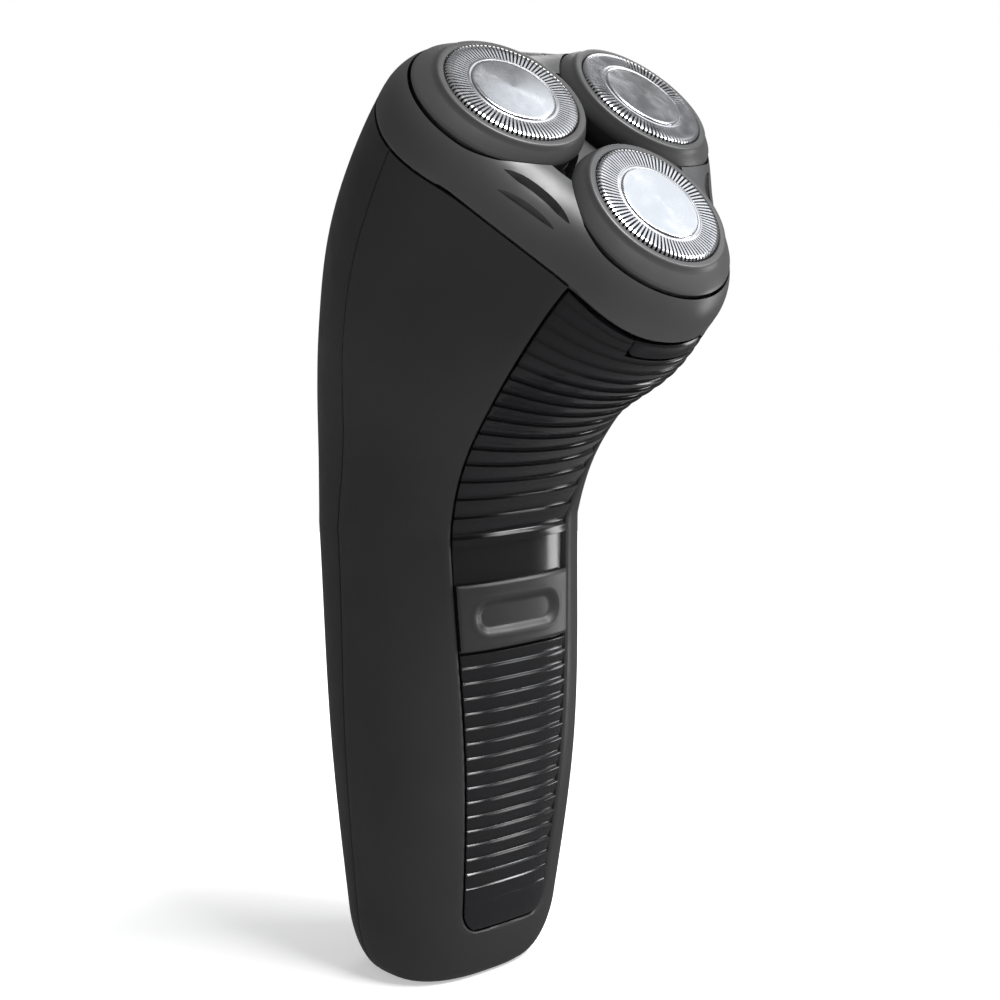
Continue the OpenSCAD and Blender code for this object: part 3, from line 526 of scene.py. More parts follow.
def plastic_of(slot, colours):
    """What moulded_plastic takes for a slot: colour, roughness, grain, gloss, spread and grain scale."""
    return {
        "shell_black": (colours.shell[:], 0.46, 0.16, 0.35),
        "panel_black": (colours.panel[:], 0.17, 0.03, 0.5, 0.04, 1500),
        "switch_grey": (colours.switch[:], 0.40, 0.14, 0.45),
        "head_grey": (colours.head[:], 0.40, 0.14, 0.5),
        "inner_plastic": ((0.035, 0.035, 0.037), 0.5, 0.2),
        "white_plastic": ((0.72, 0.71, 0.67), 0.42, 0.12),
        "cell_sleeve": ((0.03, 0.22, 0.13), 0.3, 0.05),
        "magnet_grey": ((0.08, 0.08, 0.085), 0.6, 0.35),
    }.get(slot)


def metal_of(slot):
    """What plain_metal takes for a slot: colour and roughness."""
    return {
        "contact_metal": ((0.78, 0.72, 0.58), 0.28),
        "bright_steel": ((0.68, 0.69, 0.71), 0.25),
        # near-black painted shade for the floors of the guard slots, standing in for the shaded inside seen
        # through open slots
        "slot_painted_shade": ((0.012, 0.012, 0.013), 0.6),
    }.get(slot)


def finish(slot, unit=1):
    """The material of a slot, made once. A turned slot has one for each shaving unit."""
    name = f"{slot}_{unit}" if slot in TURNED else slot
    if name not in FINISHES:
        colours = bpy.context.scene.shaver_colours
        if slot == "foil_steel":
            FINISHES[name] = turned_metal(name, colours.foil[:], 0.2, 0.3, unit)
        elif slot == "polished_cap":
            FINISHES[name] = turned_metal(name, colours.cap[:], 0.16, 0.3, unit, 0.6)
        elif slot == "board_green":
            FINISHES[name] = printed_board(name)
        elif slot == "rotor_copper":
            FINISHES[name] = wound_copper(name)
        elif plastic_of(slot, colours):
            FINISHES[name] = moulded_plastic(name, *plastic_of(slot, colours))
        elif metal_of(slot):
            FINISHES[name] = plain_metal(name, *metal_of(slot))
        else:
            raise RuntimeError(f"no finish is known for slot {slot}")
    return FINISHES[name]


# ---- settings ----
def colour_property(name, description, default):
    return FloatVectorProperty(name=name, description=description, subtype="COLOR", default=default)


def length_property(name, description, default, low, high):
    return FloatProperty(
        name=name, description=description, default=default, unit="LENGTH", min=low, max=high
    )


class SHAVER_PG_colours(PropertyGroup):
    """Colours of the finishes"""

    shell: colour_property("Shell", "Satin black of the housings", (0.020, 0.020, 0.021))
    panel: colour_property("Grip panel", "Gloss black of the ribbed panel", (0.008, 0.008, 0.009))
    switch: colour_property("Switch", "Satin grey of the slide switch", (0.024, 0.024, 0.025))
    head: colour_property("Head", "Satin grey of the collar and cups", (0.044, 0.044, 0.045))
    foil: colour_property("Guard", "Steel of the slotted guards", (0.82, 0.82, 0.84))
    cap: colour_property("Guard cap", "Polished steel of the guard caps", (0.86, 0.87, 0.90))


class SHAVER_PG_sizes(PropertyGroup):
    """Sizes of the fine details"""

    edge: length_property("Edge", "Rounding of the housing edges", 0.00035, 0.0001, 0.001)
    panel_bevel: length_property("Panel bevel", "Width of the bevel round the panel", 0.0006, 0.0002, 0.0012)
    rib_depth: length_property("Rib depth", "Depth of the grip ribs", 0.0006, 0.0002, 0.0009)
    rib_pitch: length_property("Rib pitch", "Distance between the ribs of the handle", 0.0026, 0.002, 0.004)
    finger_depth: length_property("Finger dish", "Depth of the dish in the switch", 0.0008, 0.0002, 0.0009)
    slots: IntProperty(name="Slots", description="Slots round each guard", default=90, min=30, max=120)
    slot_depth: length_property("Slot depth", "Depth of the guard slots", 0.0004, 0.0001, 0.0008)


# ---- side shells ----
def half_rows(top, count_handle, count_neck):
    """Heights u for rows of skin, close together where the foot rounds in."""
    foot = [FOOT_H / HANDLE_H * (1 - cos(radians(90 * i / 14))) for i in range(15)]
    handle = list(np.linspace(FOOT_H / HANDLE_H, 1, count_handle)[1:])
    neck = list(np.linspace(1, top, count_neck)[1:])
    return foot + handle + neck


class SHAVER_OT_front_shell(Operator):
    """Build the front housing: both sides and foot round the panel, the panel's seat and the foot plate"""

    bl_idname = "shaver.front_shell"
    bl_label = "Front Housing"

    def execute(self, context):
        sizes = context.scene.shaver_sizes
        edge, bevel = sizes.edge / MM, sizes.panel_bevel / MM
        # Stations down the left edge of the panel, round its corner and along its bottom to the middle
        inner, outer = [], []
        corner_u = PANEL_U + PANEL_CORNER / HANDLE_H
        for u in list(np.linspace(2.0, 1.0, 44)) + list(np.linspace(1.0, corner_u, 40))[1:]:
            inner.append((u, 270 - panel_half(u)))
            outer.append((u, 180 - parting(u)))
        for k in range(1, 11):
            rise = PANEL_CORNER * (1 - sin(radians(9 * k)))
            u = PANEL_U + rise / HANDLE_H
            inner.append((u, 270 - panel_half(u)))
            v = corner_u * (1 - k / 10) ** 1.35
            outer.append((v, 180 - parting(v)))
        last = inner[-1][1]
        first = 180 - parting(0)
        for k in range(1, 17):
            inner.append((PANEL_U, mix(last, 270, k / 16)))
            outer.append((0.0, mix(first, 270, k / 16)))
        inner += [(u, 540 - a) for u, a in reversed(inner[:-1])]
        outer += [(u, 540 - a) for u, a in reversed(outer[:-1])]
        steps = 18
        outside, inside = [], []
        for (ui, ai), (uo, ao) in zip(inner, outer):
            span = hypot((ao - ai) * 0.38, (uo - ui) * HANDLE_H)
            # distance from the panel's edge in mm, depth below the skin
            cols = [(0.0, PANEL_T), (0.0, 0.34), (bevel * 0.5, 0.12), (bevel, 0.0)]
            cols += [(bevel + (span - edge - bevel) * k / steps, 0.0) for k in range(1, steps)]
            cols += [(span - edge, 0.0), (span - edge * 0.4, edge * 0.18), (span, edge * 0.8)]
            line_out, line_in = [], []
            for d, depth in cols:
                t = d / span
                u, a = mix(ui, uo, t), mix(ai, ao, t)
                line_out.append(on_skin(u, a, depth))
                line_in.append(on_skin(u, a, max(WALL, depth + 0.6)))
            outside.append(line_out)
            inside.append(line_in)
        verts, faces = sheet(np.array(outside), np.array(inside))
        new_piece("front_shell", verts, faces, "body", "shell_black", ("front_housing",), angle=38)

        # The seat under the panel
        foot_u = PANEL_U + 0.002
        outside, inside = [], []
        for u in [foot_u] + [u for u in half_rows(1.995, 24, 30) if u > foot_u]:
            a = np.linspace(270 - panel_half(u) + 0.3, 270 + panel_half(u) - 0.3, 26)
            outside.append([on_skin(u, b, PANEL_T + 0.02) for b in a])
            inside.append([on_skin(u, b, PANEL_T + SEAT_WALL) for b in a])
        verts, faces = sheet(np.array(outside), np.array(inside))
        seat = new_piece("panel_seat", verts, faces, "body", "shell_black", ("front_housing",))
        cut(seat, [stem_cutter(), notch_cutter(SEAM)])

        # The foot plate with the inlet's opening
        angles = np.arange(0, 360, 3)
        rings = []
        for z, inset in ((0.0, 0.55), (0.12, 0.35), (0.35, 0.3), (WALL, 0.3)):
            p = skin(0.0, angles, inset + 0.2)
            p[:, 2] = z
            rings.append(p)
        verts, faces = stack(rings)
        plate = new_piece("foot_plate", verts, faces, "body", "shell_black", ("front_housing",))
        mouth = []
        for z, grow in ((-1, 1.35), (0.25, 1.35), (0.6, 1.0), (3, 1.0)):
            ring = []
            for k in range(64):
                a = 2 * pi * k / 64
                r = INLET_R + grow
                side = INLET_HALF_GAP if cos(a) > 0 else -INLET_HALF_GAP
                ring.append((side + r * cos(a), INLET_Y + r * sin(a), z))
            mouth.append(ring)
        cut(plate, [helper(*stack(mouth))])
        return {"FINISHED"}


STEM_LOW = SWITCH_BOTTOM + STEM_RISE
STEM_HIGH = STEM_LOW + STEM_H


def stem_cutter():
    """Cutter for the slot that the switch's stem runs in."""
    half = STEM_HALF_W + FREE
    return helper(*box_solid((-half, -20, STEM_LOW - FREE), (half, 0, STEM_HIGH + SWITCH_TRAVEL + FREE)))


def notch_cutter(gap):
    """Cutter for the notch of the release button."""
    low = (-BUTTON_W / 2 - gap, -HEAD_FRONT - 5, BUTTON_BOTTOM - gap)
    high = (BUTTON_W / 2 + gap, -HEAD_FRONT + 9, BUTTON_TOP + gap)
    return helper(*box_solid(low, high), HEAD)


def lug_cutter(side, low, high):
    """Cutter for the slot of one hinge lug, between two heights over the head's plane."""
    x, half = side * (LUG_IN + LUG_W / 2), LUG_W / 2 + SEAM
    near, far = HINGE_Q - HINGE_R - SEAM, HINGE_Q + HINGE_R + SEAM + 3
    return helper(*box_solid((x - half, near, low), (x + half, far, high)), HEAD)


class SHAVER_OT_rear_shell(Operator):
    """Build the rear housing, with its screw holes and the slots of the head's hinge"""

    bl_idname = "shaver.rear_shell"
    bl_label = "Rear Housing"

    def execute(self, context):
        edge = context.scene.shaver_sizes.edge / MM
        outside, inside = [], []
        for u in half_rows(2.0, 40, 50):
            low, high = parting(u) + 0.35, 180 - parting(u) - 0.35
            round_off = edge / 0.38
            a = [low, low + round_off * 0.3, low + round_off]
            a += list(np.linspace(low + round_off, high - round_off, 58)[1:-1])
            a += [high - round_off, high - round_off * 0.3, high]
            depth = np.zeros(len(a))
            depth[[0, -1]], depth[[1, -2]] = edge * 0.8, edge * 0.2
            outside.append([on_skin(u, b, d) for b, d in zip(a, depth)])
            inside.append([on_skin(u, b, WALL) for b in a])
        verts, faces = sheet(np.array(outside), np.array(inside))
        shell = new_piece("rear_shell", verts, faces, "body", "shell_black", ("rear_housing",), angle=38)
        tools = []
        for side in (-1, 1):
            down = Matrix.Translation((side * SCREW_X, 0, SCREW_Z)) @ Matrix.Rotation(-pi / 2, 4, "X")
            seat = BACK[2] - SCREW_SEAT
            hole = [(SCREW_HOLE_R, 0), (SCREW_HOLE_R, seat), (SCREW_HEAD_R, seat), (SCREW_HEAD_R, 40)]
            tools.append(helper(*rod_solid(hole, 40), down))
            tools.append(lug_cutter(side, LUG_ROOT, 0))
        cut(shell, tools, 38)
        return {"FINISHED"}


# ---- grip panel ----
WINDOW_LOW = SWITCH_BOTTOM - 0.6
WINDOW_HIGH = SWITCH_BOTTOM + SWITCH_H + SWITCH_TRAVEL + 0.4
NECK_RIBS, NECK_FIRST, NECK_STEP = 17, 0.985, 0.06


def rib_profile(from_u, step_u, depth):
    """Rows of one rib going up: a rounded proud edge, a short ledge, then a band that slopes back out."""
    edge = [(0.0, 0.10), (0.035, 0.0), (0.075, 0.02)]
    ledge = [(0.17, 0.86), (0.20, 0.97), (0.25, 1.0)]
    band = [(0.6, 0.52), (0.93, 0.10)]
    return [(from_u + step_u * t, depth * d) for t, d in edge + ledge + band]


class SHAVER_OT_grip_panel(Operator):
    """Build the ribbed gloss panel with the switch's track and the notch of the release button"""

    bl_idname = "shaver.grip_panel"
    bl_label = "Grip Panel"

    def execute(self, context):
        sizes = context.scene.shaver_sizes
        depth, pitch = sizes.rib_depth / MM, sizes.rib_pitch / MM
        start = PANEL_U + 0.3 / HANDLE_H
        rows = [(start, 0.6), (start + 0.12 / HANDLE_H, 0.22), (start + 0.4 / HANDLE_H, 0.06)]
        count = int((WINDOW_LOW - PANEL_BOTTOM - 3) // pitch)
        first = WINDOW_LOW - count * pitch
        for k in range(8):
            rows.append((mix(start + 0.6 / HANDLE_H, (first - 0.1) / HANDLE_H, k / 7), 0.05))
        for k in range(count):
            fade = min(1.0, 0.35 + 0.2 * k)
            rows += rib_profile((first + k * pitch) / HANDLE_H, pitch / HANDLE_H, depth * fade)
        low, high = WINDOW_LOW / HANDLE_H, WINDOW_HIGH / HANDLE_H
        rows += [(low - 0.0008, 0.05), (low, 0.12), (low + 0.0008, 1.0)]
        rows += [(mix(low, high, k / 8), 1.0) for k in range(1, 8)]
        rows += [(high - 0.0008, 1.0), (high, 0.12), (high + 0.0008, 0.05)]
        for k in range(NECK_RIBS):
            fade = min(1.0, 0.3 + 0.12 * (NECK_RIBS - 1 - k))
            last = k == NECK_RIBS - 1
            step = (1.985 - NECK_FIRST - NECK_STEP * k) if last else NECK_STEP
            rows += rib_profile(NECK_FIRST + NECK_STEP * k, step, depth * fade)
        rows += [(1.982, 0.05), (1.987, 0.3)]
        rows.sort()
        outside, inside = [], []
        for u, d in rows:
            half = max(panel_half(u) - 0.75, 8)
            across = 54
            rim = [0.0, 0.35, 0.95]
            a = [270 - half + r for r in rim]
            a += list(np.linspace(270 - half + 0.95, 270 + half - 0.95, across)[1:-1])
            a += [270 + half - r for r in reversed(rim)]
            fold = np.array([0.55, 0.16, 0.0] + [0.0] * (across - 2) + [0.0, 0.16, 0.55])
            deep = d + fold * (d < 0.9)
            outside.append([on_skin(u, b, d) for b, d in zip(a, deep)])
            inside.append([on_skin(u, b, PANEL_T - 0.05) for b in a])
        verts, faces = sheet(np.array(outside), np.array(inside))
        panel = new_piece("ribbed_panel", verts, faces, "body", "panel_black", ("grip_panel",), angle=32)
        cut(panel, [stem_cutter(), notch_cutter(SEAM)], 32)
        return {"FINISHED"}


class SHAVER_OT_switch(Operator):
    """Build the slide switch with its finger dish and stem"""

    bl_idname = "shaver.switch"
    bl_label = "Slide Switch"

    def execute(self, context):
        sizes = context.scene.shaver_sizes
        dish = sizes.finger_depth / MM
        centre, half_l, half_h = SWITCH_BOTTOM + SWITCH_H / 2 - 0.1, 9.3, 3.1
        heights = [0, 0.08, 0.3, 0.6] + list(np.linspace(0.6, SWITCH_H - 0.6, 46)[1:-1])
        heights += [SWITCH_H - 0.6, SWITCH_H - 0.3, SWITCH_H - 0.08, SWITCH_H]
        outside, inside = [], []
        for h in heights:
            z = SWITCH_BOTTOM + h
            u = z / HANDLE_H
            start = 270 - panel_half(u) + 0.5 + 1.2
            a = [start, start + 0.25, start + 0.9, start + 1.6]
            a += list(np.linspace(start + 1.6, 540 - start - 1.6, 90)[1:-1])
            a += [540 - start - 1.6, 540 - start - 0.9, 540 - start - 0.25, 540 - start]
            a = np.array(a)
            p = skin(u, a)
            away = np.hypot(np.maximum(np.abs(p[:, 0]) - (half_l - half_h), 0), z - centre) - half_h
            deep = dish * smooth(-away / 1.5) - 0.12 * np.exp(-(((away - 0.35) / 0.3) ** 2))
            side = np.minimum(a - start, 540 - start - a) * 0.36
            end = min(h, SWITCH_H - h)
            rim = np.minimum(side, end)
            deep = deep - 0.35 + 0.32 * (1 - smooth(rim / 0.55)) ** 2
            outside.append(skin(u, a, deep))
            inside.append(skin(u, a, 0.8))
        verts, faces = sheet(np.array(outside), np.array(inside))
        new_piece("switch_button", verts, faces, "switch", "switch_grey", ("slide_switch",), angle=50)
        stem_back = -FRONT[2] + PANEL_T + SEAT_WALL + FREE
        low, high = (-STEM_HALF_W, -FRONT[2] + 0.75, STEM_LOW), (STEM_HALF_W, stem_back, STEM_HIGH)
        verts, faces = box_solid(low, high)
        new_piece("switch_stem", verts, faces, "switch", "switch_grey", ("slide_switch",))
        return {"FINISHED"}


def place_on_skin(x, g):
    """Skin point at x across and g out of the head, found by steps from a near guess."""
    goal = np.array([x, g])
    inverse = np.array(HEAD.inverted())

    def at(v):
        p = skin(v[0], v[1])
        q = inverse[:3, :3] @ p + inverse[:3, 3]
        return np.array([q[0], q[2]])

    v = np.array([1.93, 270 + x * 1.9])
    for _ in range(12):
        here = at(v)
        du = (at(v + [1e-4, 0]) - here) / 1e-4
        da = (at(v + [0, 1e-2]) - here) / 1e-2
        v = v + np.linalg.solve(np.stack([du, da], 1), goal - here)
    return v


class SHAVER_OT_release_button(Operator):
    """Build the release button with its latch"""

    bl_idname = "shaver.release_button"
    bl_label = "Release Button"

    def execute(self, context):
        w, low, high = BUTTON_W / 2, BUTTON_BOTTOM, BUTTON_TOP
        xs = [-w, -w + 0.1, -w + 0.3] + list(np.linspace(-w + 0.6, w - 0.6, 31)) + [w - 0.3, w - 0.1, w]
        gs = [low, low + 0.1, low + 0.3] + list(np.linspace(low + 0.6, high - 0.6, 9))
        gs += [high - 0.3, high - 0.1, high]
        outside, inside = [], []
        for g in gs:
            line_out, line_in = [], []
            # lower corners round off
            rise = g - low
            pull = 1.0 - sqrt(max(0, 1.0 - (1.0 - rise) ** 2)) if rise < 1.0 else 0
            for x in xs:
                v = place_on_skin(x * (w - pull) / w, g)
                side = min(w - abs(x), g - low, high - g)
                deep = 0.30 * float((1 - smooth(side / 0.45)) ** 2)
                dip = 0.25 * float(smooth((1.6 - abs(g - (low + high) / 2)) / 1.6))
                dip *= float(smooth((w - 1 - abs(x)) / 2))
                line_out.append(skin(v[0], v[1], deep + dip))
                line_in.append(skin(v[0], v[1], 1.6))
            outside.append(line_out)
            inside.append(line_in)
        verts, faces = sheet(np.array(outside), np.array(inside))
        new_piece("release_key", verts, faces, "button", "panel_black", ("release_button",), angle=40)
        latch_y = -HEAD_FRONT + PANEL_T + SEAT_WALL + FREE
        for name, a, b in (
            ("latch_bar", (-4, latch_y - 0.4, high - 1.2), (4, latch_y + 0.8, high)),
            ("latch_hook", (-2, latch_y, high - 0.1), (2, latch_y + 0.8, high + 2.4)),
        ):
            verts, faces = box_solid(a, b)
            new_piece(name, verts, faces, "button", "panel_black", ("release_button",), HEAD)
        return {"FINISHED"}


# ---- head ----
RING_ANGLES = np.arange(0, 360, 1.5)


def dome_draw(a):
    """How far the dome draws in at its top at angle a: less beside a unit than between two."""
    past = np.maximum(0, np.abs((a + 30) % 120 - 60) - 31) / 29
    return mix(DRAW_UNIT, DRAW_SIDE, past * past * (3 - 2 * past))


def draw_share(rise):
    """Share of the draw that the dome has at a rise over the joint."""
    return 1 - sqrt(max(0.0, 1 - (rise / DOME_H) ** 2))


def dome_ring(rise, inset=0.0, drop=0.0):
    """Ring of the dome in the coordinates of the head."""
    r = outline_r(RING_ANGLES, CORNER_R - dome_draw(RING_ANGLES) * draw_share(rise)) - inset
    t = np.radians(RING_ANGLES)
    return np.stack([r * np.cos(t), r * np.sin(t), np.full(len(t), rise - JOINT_DEPTH - drop)], -1)


def collar_ring(rise, inset=0.0, dip=1.0):
    """Ring of the collar in the coordinates of the head. Below the joint it follows the neck's skin."""
    inverse = np.array(HEAD.inverted())
    ring = dome_ring(max(rise, 0.0), inset)
    for k, a in enumerate(RING_ANGLES):
        low = rise - dip * joint_dip(a)
        if low < 0:
            p = skin(2 + low / (reach_of(a) * TILT), a, inset)
            ring[k] = inverse[:3, :3] @ p + inverse[:3, 3]
    return ring


def dome_height(x, y):
    """Height of the collar's outside at a point of the head's plane."""
    a, r = degrees(atan2(y, x)), hypot(x, y)
    low, high = 0.0, DOME_H
    for _ in range(40):
        mid = (low + high) / 2
        edge = outline_r(np.array([a]), CORNER_R - dome_draw(np.array([a])) * draw_share(mid))[0]
        low, high = (mid, high) if edge > r else (low, mid)
    return low - JOINT_DEPTH


def crescent(ends, bulge, width, depth, mirror):
    """Cutter for a shallow sickle groove between two ends, bulging toward the middle of the head."""
    (x0, y0), (x1, y1) = ends
    steps = 30
    outward = Vector((cos(radians(210)), sin(radians(210))))
    top, base = [], []
    for k in range(steps + 1):
        t = k / steps
        arch = 4 * t * (1 - t)
        lane_top, lane_base = [], []
        for share in (0.0, 0.25, 0.5, 0.75, 1.0):
            pull = bulge * arch + (share - 0.5) * (width * arch**0.8 + 0.03)
            x = mix(x0, x1, t) - outward.x * pull
            y = mix(y0, y1, t) - outward.y * pull
            g = dome_height(x, y)
            # steep sides and a flat floor keep the groove dark
            sunk = depth * (1 - (2 * share - 1) ** 4 * 0.7) * min(1.0, 0.2 + 1.2 * arch)
            lane_top.append((mirror * x, y, g + 1.0))
            lane_base.append((mirror * x, y, g - sunk))
        top.append(lane_top)
        base.append(lane_base)
    return helper(*sheet(np.array(top), np.array(base)), HEAD)


class SHAVER_OT_collar(Operator):
    """Build the head's collar with its cup openings, valley and sickle grooves"""

    bl_idname = "shaver.collar"
    bl_label = "Head Collar"

    def execute(self, context):
        gap = JOINT_GAP
        rings = [collar_ring(gap, 0.3), collar_ring(gap + 0.08, 0.1), collar_ring(gap + 0.3)]
        rings += [collar_ring(gap + 0.3 + 0.25 * k, 0.0, 1 - k / 6) for k in range(1, 6)]
        rises = [DOME_H * sin(radians(a)) for a in np.linspace(5, 84, 26)]
        rings += [dome_ring(rise) for rise in rises if rise > gap + 1.6]
        rings += [dome_ring(DOME_H)]
        verts, faces = stack(rings)
        collar = new_piece("head_collar", verts, faces, "head", "head_grey", ("head_frame",), HEAD, 30)
        inner = [collar_ring(-1.2, COLLAR_WALL), collar_ring(0, COLLAR_WALL, 0.5)]
        inner += [dome_ring(DOME_H * sin(radians(a)), COLLAR_WALL) for a in np.linspace(4, 84, 12)]
        inner += [dome_ring(DOME_H, COLLAR_WALL, COLLAR_WALL - 1.2)]
        tools = [helper(*stack(inner), HEAD)]
        for i in (1, 2, 3):
            profile = [
                (CUP_BASE_R + FREE, -CUP_LOW - FREE),
                (CUP_BASE_R + FREE, -CUP_SEAM),
                (CUP_LIP_R + FREE, -CUP_TOP),
                (CUP_LIP_R + FREE, 9.6),
            ]
            tools.append(helper(*rod_solid(profile, 144, (CUP_LEAN, CUP_LEAN, 0, 0)), unit_matrix(i)))
        tools.append(helper(*rod_solid([(VALLEY_R, -JOINT_DEPTH), (VALLEY_R, 9)], 144), HEAD))
        for mirror in (1, -1):
            tools.append(crescent(((-22.2, -5.3), (-16.2, -16.3)), 1.1, 1.5, 1.1, mirror))
            tools.append(crescent(((-23.3, -7.2), (-18.0, -15.8)), 0.45, 0.7, 0.8, mirror))
        tools += [lug_cutter(side, -20, HINGE_G + HINGE_R + SEAM) for side in (-1, 1)]
        low, high = (-LUG_IN, HINGE_Q - HINGE_R - 1.2, -20), (LUG_IN, HINGE_Q + 5, HINGE_G + HINGE_R - 0.6)
        tools.append(helper(*box_solid(low, high), HEAD))
        cut(collar, tools, 30)
        return {"FINISHED"}


class SHAVER_OT_cups(Operator):
    """Build the three flared cups round the shaving units"""

    bl_idname = "shaver.cups"
    bl_label = "Cups"

    def execute(self, context):
        bore = DISC_R + 3 * RUNNING
        rim_r = CUP_LIP_R
        top = -CUP_TOP
        profile, lean = [], []

        def row(r, z, share=0.0):
            profile.append((r, z))
            lean.append(CUP_LEAN * share)

        row(bore, -2.3)
        row(bore, top - 0.15)
        row(bore + 0.12, top - 0.02)
        row(bore + 0.3, top)
        row(rim_r - 0.55, top)
        for a in (20, 45, 70):
            row(rim_r - 0.55 + 0.5 * sin(radians(a)), top - 0.5 * (1 - cos(radians(a))))
        for k in range(1, 12):
            t = k / 12
            swell = 0.10 * sin(pi * t)
            row(mix(rim_r, CUP_BASE_R, t) + swell, mix(top - 0.6, -CUP_SEAM + 0.15, t), t)
        row(CUP_BASE_R, -CUP_SEAM, 1)
        row(CUP_BASE_R - 0.15, -CUP_SEAM - 0.25, 1)
        row(CUP_BASE_R - 0.9, -CUP_LOW, 1)
        row(FLANGE_R + 1, -CUP_LOW - 0.1, 0)
        row(FLANGE_R + 1, -8.3, 0)
        row(POCKET_R, -8.3, 0)
        row(POCKET_R, -2.4, 0)
        for i in (1, 2, 3):
            verts, faces = turned(profile, 144, lean)
            name = f"cup_{i}"
            new_piece(name, verts, faces, name, "head_grey", (f"head_cup_{i}",), unit_matrix(i), 32)
        return {"FINISHED"}


class SHAVER_OT_guards(Operator):
    """Build the three slotted guards, with slots that wrap over the edge like teeth and near-black painted
    shade on their floors
    """

    bl_idname = "shaver.guards"
    bl_label = "Guards"

    def execute(self, context):
        sizes = context.scene.shaver_sizes
        slots, depth = sizes.slots, sizes.slot_depth / MM
        # outer face from the middle out and down, with how far each row is slotted
        outer = [
            (1.3, -0.02, 0), (6.6, -0.02, 0), (7.05, -0.02, 0), (7.12, 0.0, 0), (7.3, 0.0, 0),
            (7.42, -0.05, 0), (7.6, -0.05, 0), (7.75, -0.05, 1), (8.3, -0.03, 1), (9.0, -0.01, 1),
            (9.6, 0.0, 1), (10.2, -0.02, 1), (10.6, -0.08, 1), (10.85, -0.22, 1), (10.97, -0.45, 1),
            (11.0, -0.8, 1), (11.0, -1.15, 1), (11.0, -1.3, 0), (11.0, -2.55, 0), (11.1, -2.6, 0),
            (11.6, -2.62, 0), (11.6, -3.1, 0),
        ]
        inner = [(10.45, -3.1, 0), (10.45, -0.95, 0), (10.2, -0.75, 0), (1.3, -0.75, 0)]
        step = 2 * pi / slots
        bars = (0.0, 0.50, 0.56, 0.94)
        angles = np.array([(k + b) * step for k in range(slots) for b in bars])
        down = np.array([0, 0, 1, 1] * slots)
        points, shape = [], outer + inner
        for r, z, slotted in shape:
            rr = np.full(len(angles), r)
            zz = np.full(len(angles), z)
            if slotted:
                tip = min(1.0, max(0.0, (r - 10.3) / 0.6))
                rr = rr - down * depth * tip
                zz = zz - down * depth * (1 - 0.9 * tip)
            points.append(np.stack([rr * np.cos(angles), rr * np.sin(angles), zz], -1))
        points = np.array(points)
        n = len(angles)
        faces = grid_quads(len(shape), n, wrap_rows=True, wrap_cols=True)
        verts = points.reshape(-1, 3)
        for i in (1, 2, 3):
            name, body = f"slotted_guard_{i}", f"shaver_{i}"
            materials = (finish("foil_steel", i), finish("slot_painted_shade"))
            guard = new_piece(
                name, verts, faces, body, "foil_steel", (f"guard_{i}",), unit_matrix(i), 30, materials
            )
            back_to_unit = unit_matrix(i).inverted()
            # slot floors take the second finish: near-black painted shade in place of the dark inside seen
            # through open slots
            for poly in guard.data.polygons:
                c = back_to_unit @ (poly.center / MM)
                r = hypot(c.x, c.y)
                turn = (atan2(c.y, c.x) / step) % 1.0
                if 0.56 < turn < 0.94 and 7.7 < r < 11.02 and c.z > -1.2:
                    poly.material_index = 1
        return {"FINISHED"}


class SHAVER_OT_caps(Operator):
    """Build the three polished caps, faintly coned, with their pins"""

    bl_idname = "shaver.caps"
    bl_label = "Guard Caps"

    def execute(self, context):
        profile = [(1.2, -3.2), (1.2, -0.02), (6.75, -0.02), (6.86, 0.03), (6.88, 0.10), (6.8, 0.17)]
        profile += [(6.6, 0.20)]
        profile += [(r, 0.20 + 0.15 * (1 - r / 6.6)) for r in np.linspace(6.3, 0.25, 24)]
        verts, faces = rod_solid(profile, 128)
        for i in (1, 2, 3):
            name, body, materials = f"polished_cap_{i}", f"shaver_{i}", (finish("polished_cap", i),)
            new_piece(
                name, verts, faces, body, "polished_cap", (f"guard_cap_{i}",), unit_matrix(i), 40, materials
            )
        return {"FINISHED"}


class SHAVER_OT_inner_parts(Operator):
    """Give the parts that keep their CAD shape their finishes, through their objects' own slots"""

    bl_idname = "shaver.inner_parts"
    bl_label = "Inner Parts"

    def execute(self, context):
        slot_of = {part["node"]: part["material_slot"] for part in frame["record"]["subparts"]}
        for name, obj in frame["nodes"].items():
            if name not in slot_of or not obj.material_slots:
                raise RuntimeError(f"{name} has no material slot")
            for place in obj.material_slots:
                place.link = "OBJECT"
                place.material = finish(slot_of[name])
        return {"FINISHED"}


# ---- stage ----
FLOOR_R = 0.45
LENS, CAMERA_AT, CAMERA_AZ, CAMERA_EL = 69.2, (-213.0, -248.7, 134.3), -41.8, 8.9
# Soft lights in metres and watts: name, place, target, size, power, colour
LIGHTS = (
    ("key", (0.15, -0.45, 0.80), (0, -0.02, 0.08), (0.45, 0.35), 12.0, (1, 1, 1)),
    ("head_fill", (0.46, -0.14, 0.60), (0, -0.035, 0.145), (0.34, 0.34), 0.32, (0.9, 0.95, 1.0)),
    ("front_right", (0.53, -0.44, 0.50), (0, -0.02, 0.08), (0.20, 0.20), 2.4, (1, 1, 1)),
    ("rim", (0.46, 0.33, 0.48), (0, 0, 0.08), (0.30, 0.20), 0.6, (1, 1, 1)),
    ("side_strip", (0.54, -0.24, -0.02), (0, 0, 0.075), (0.14, 0.25), 0.7, (1, 1, 1)),
)


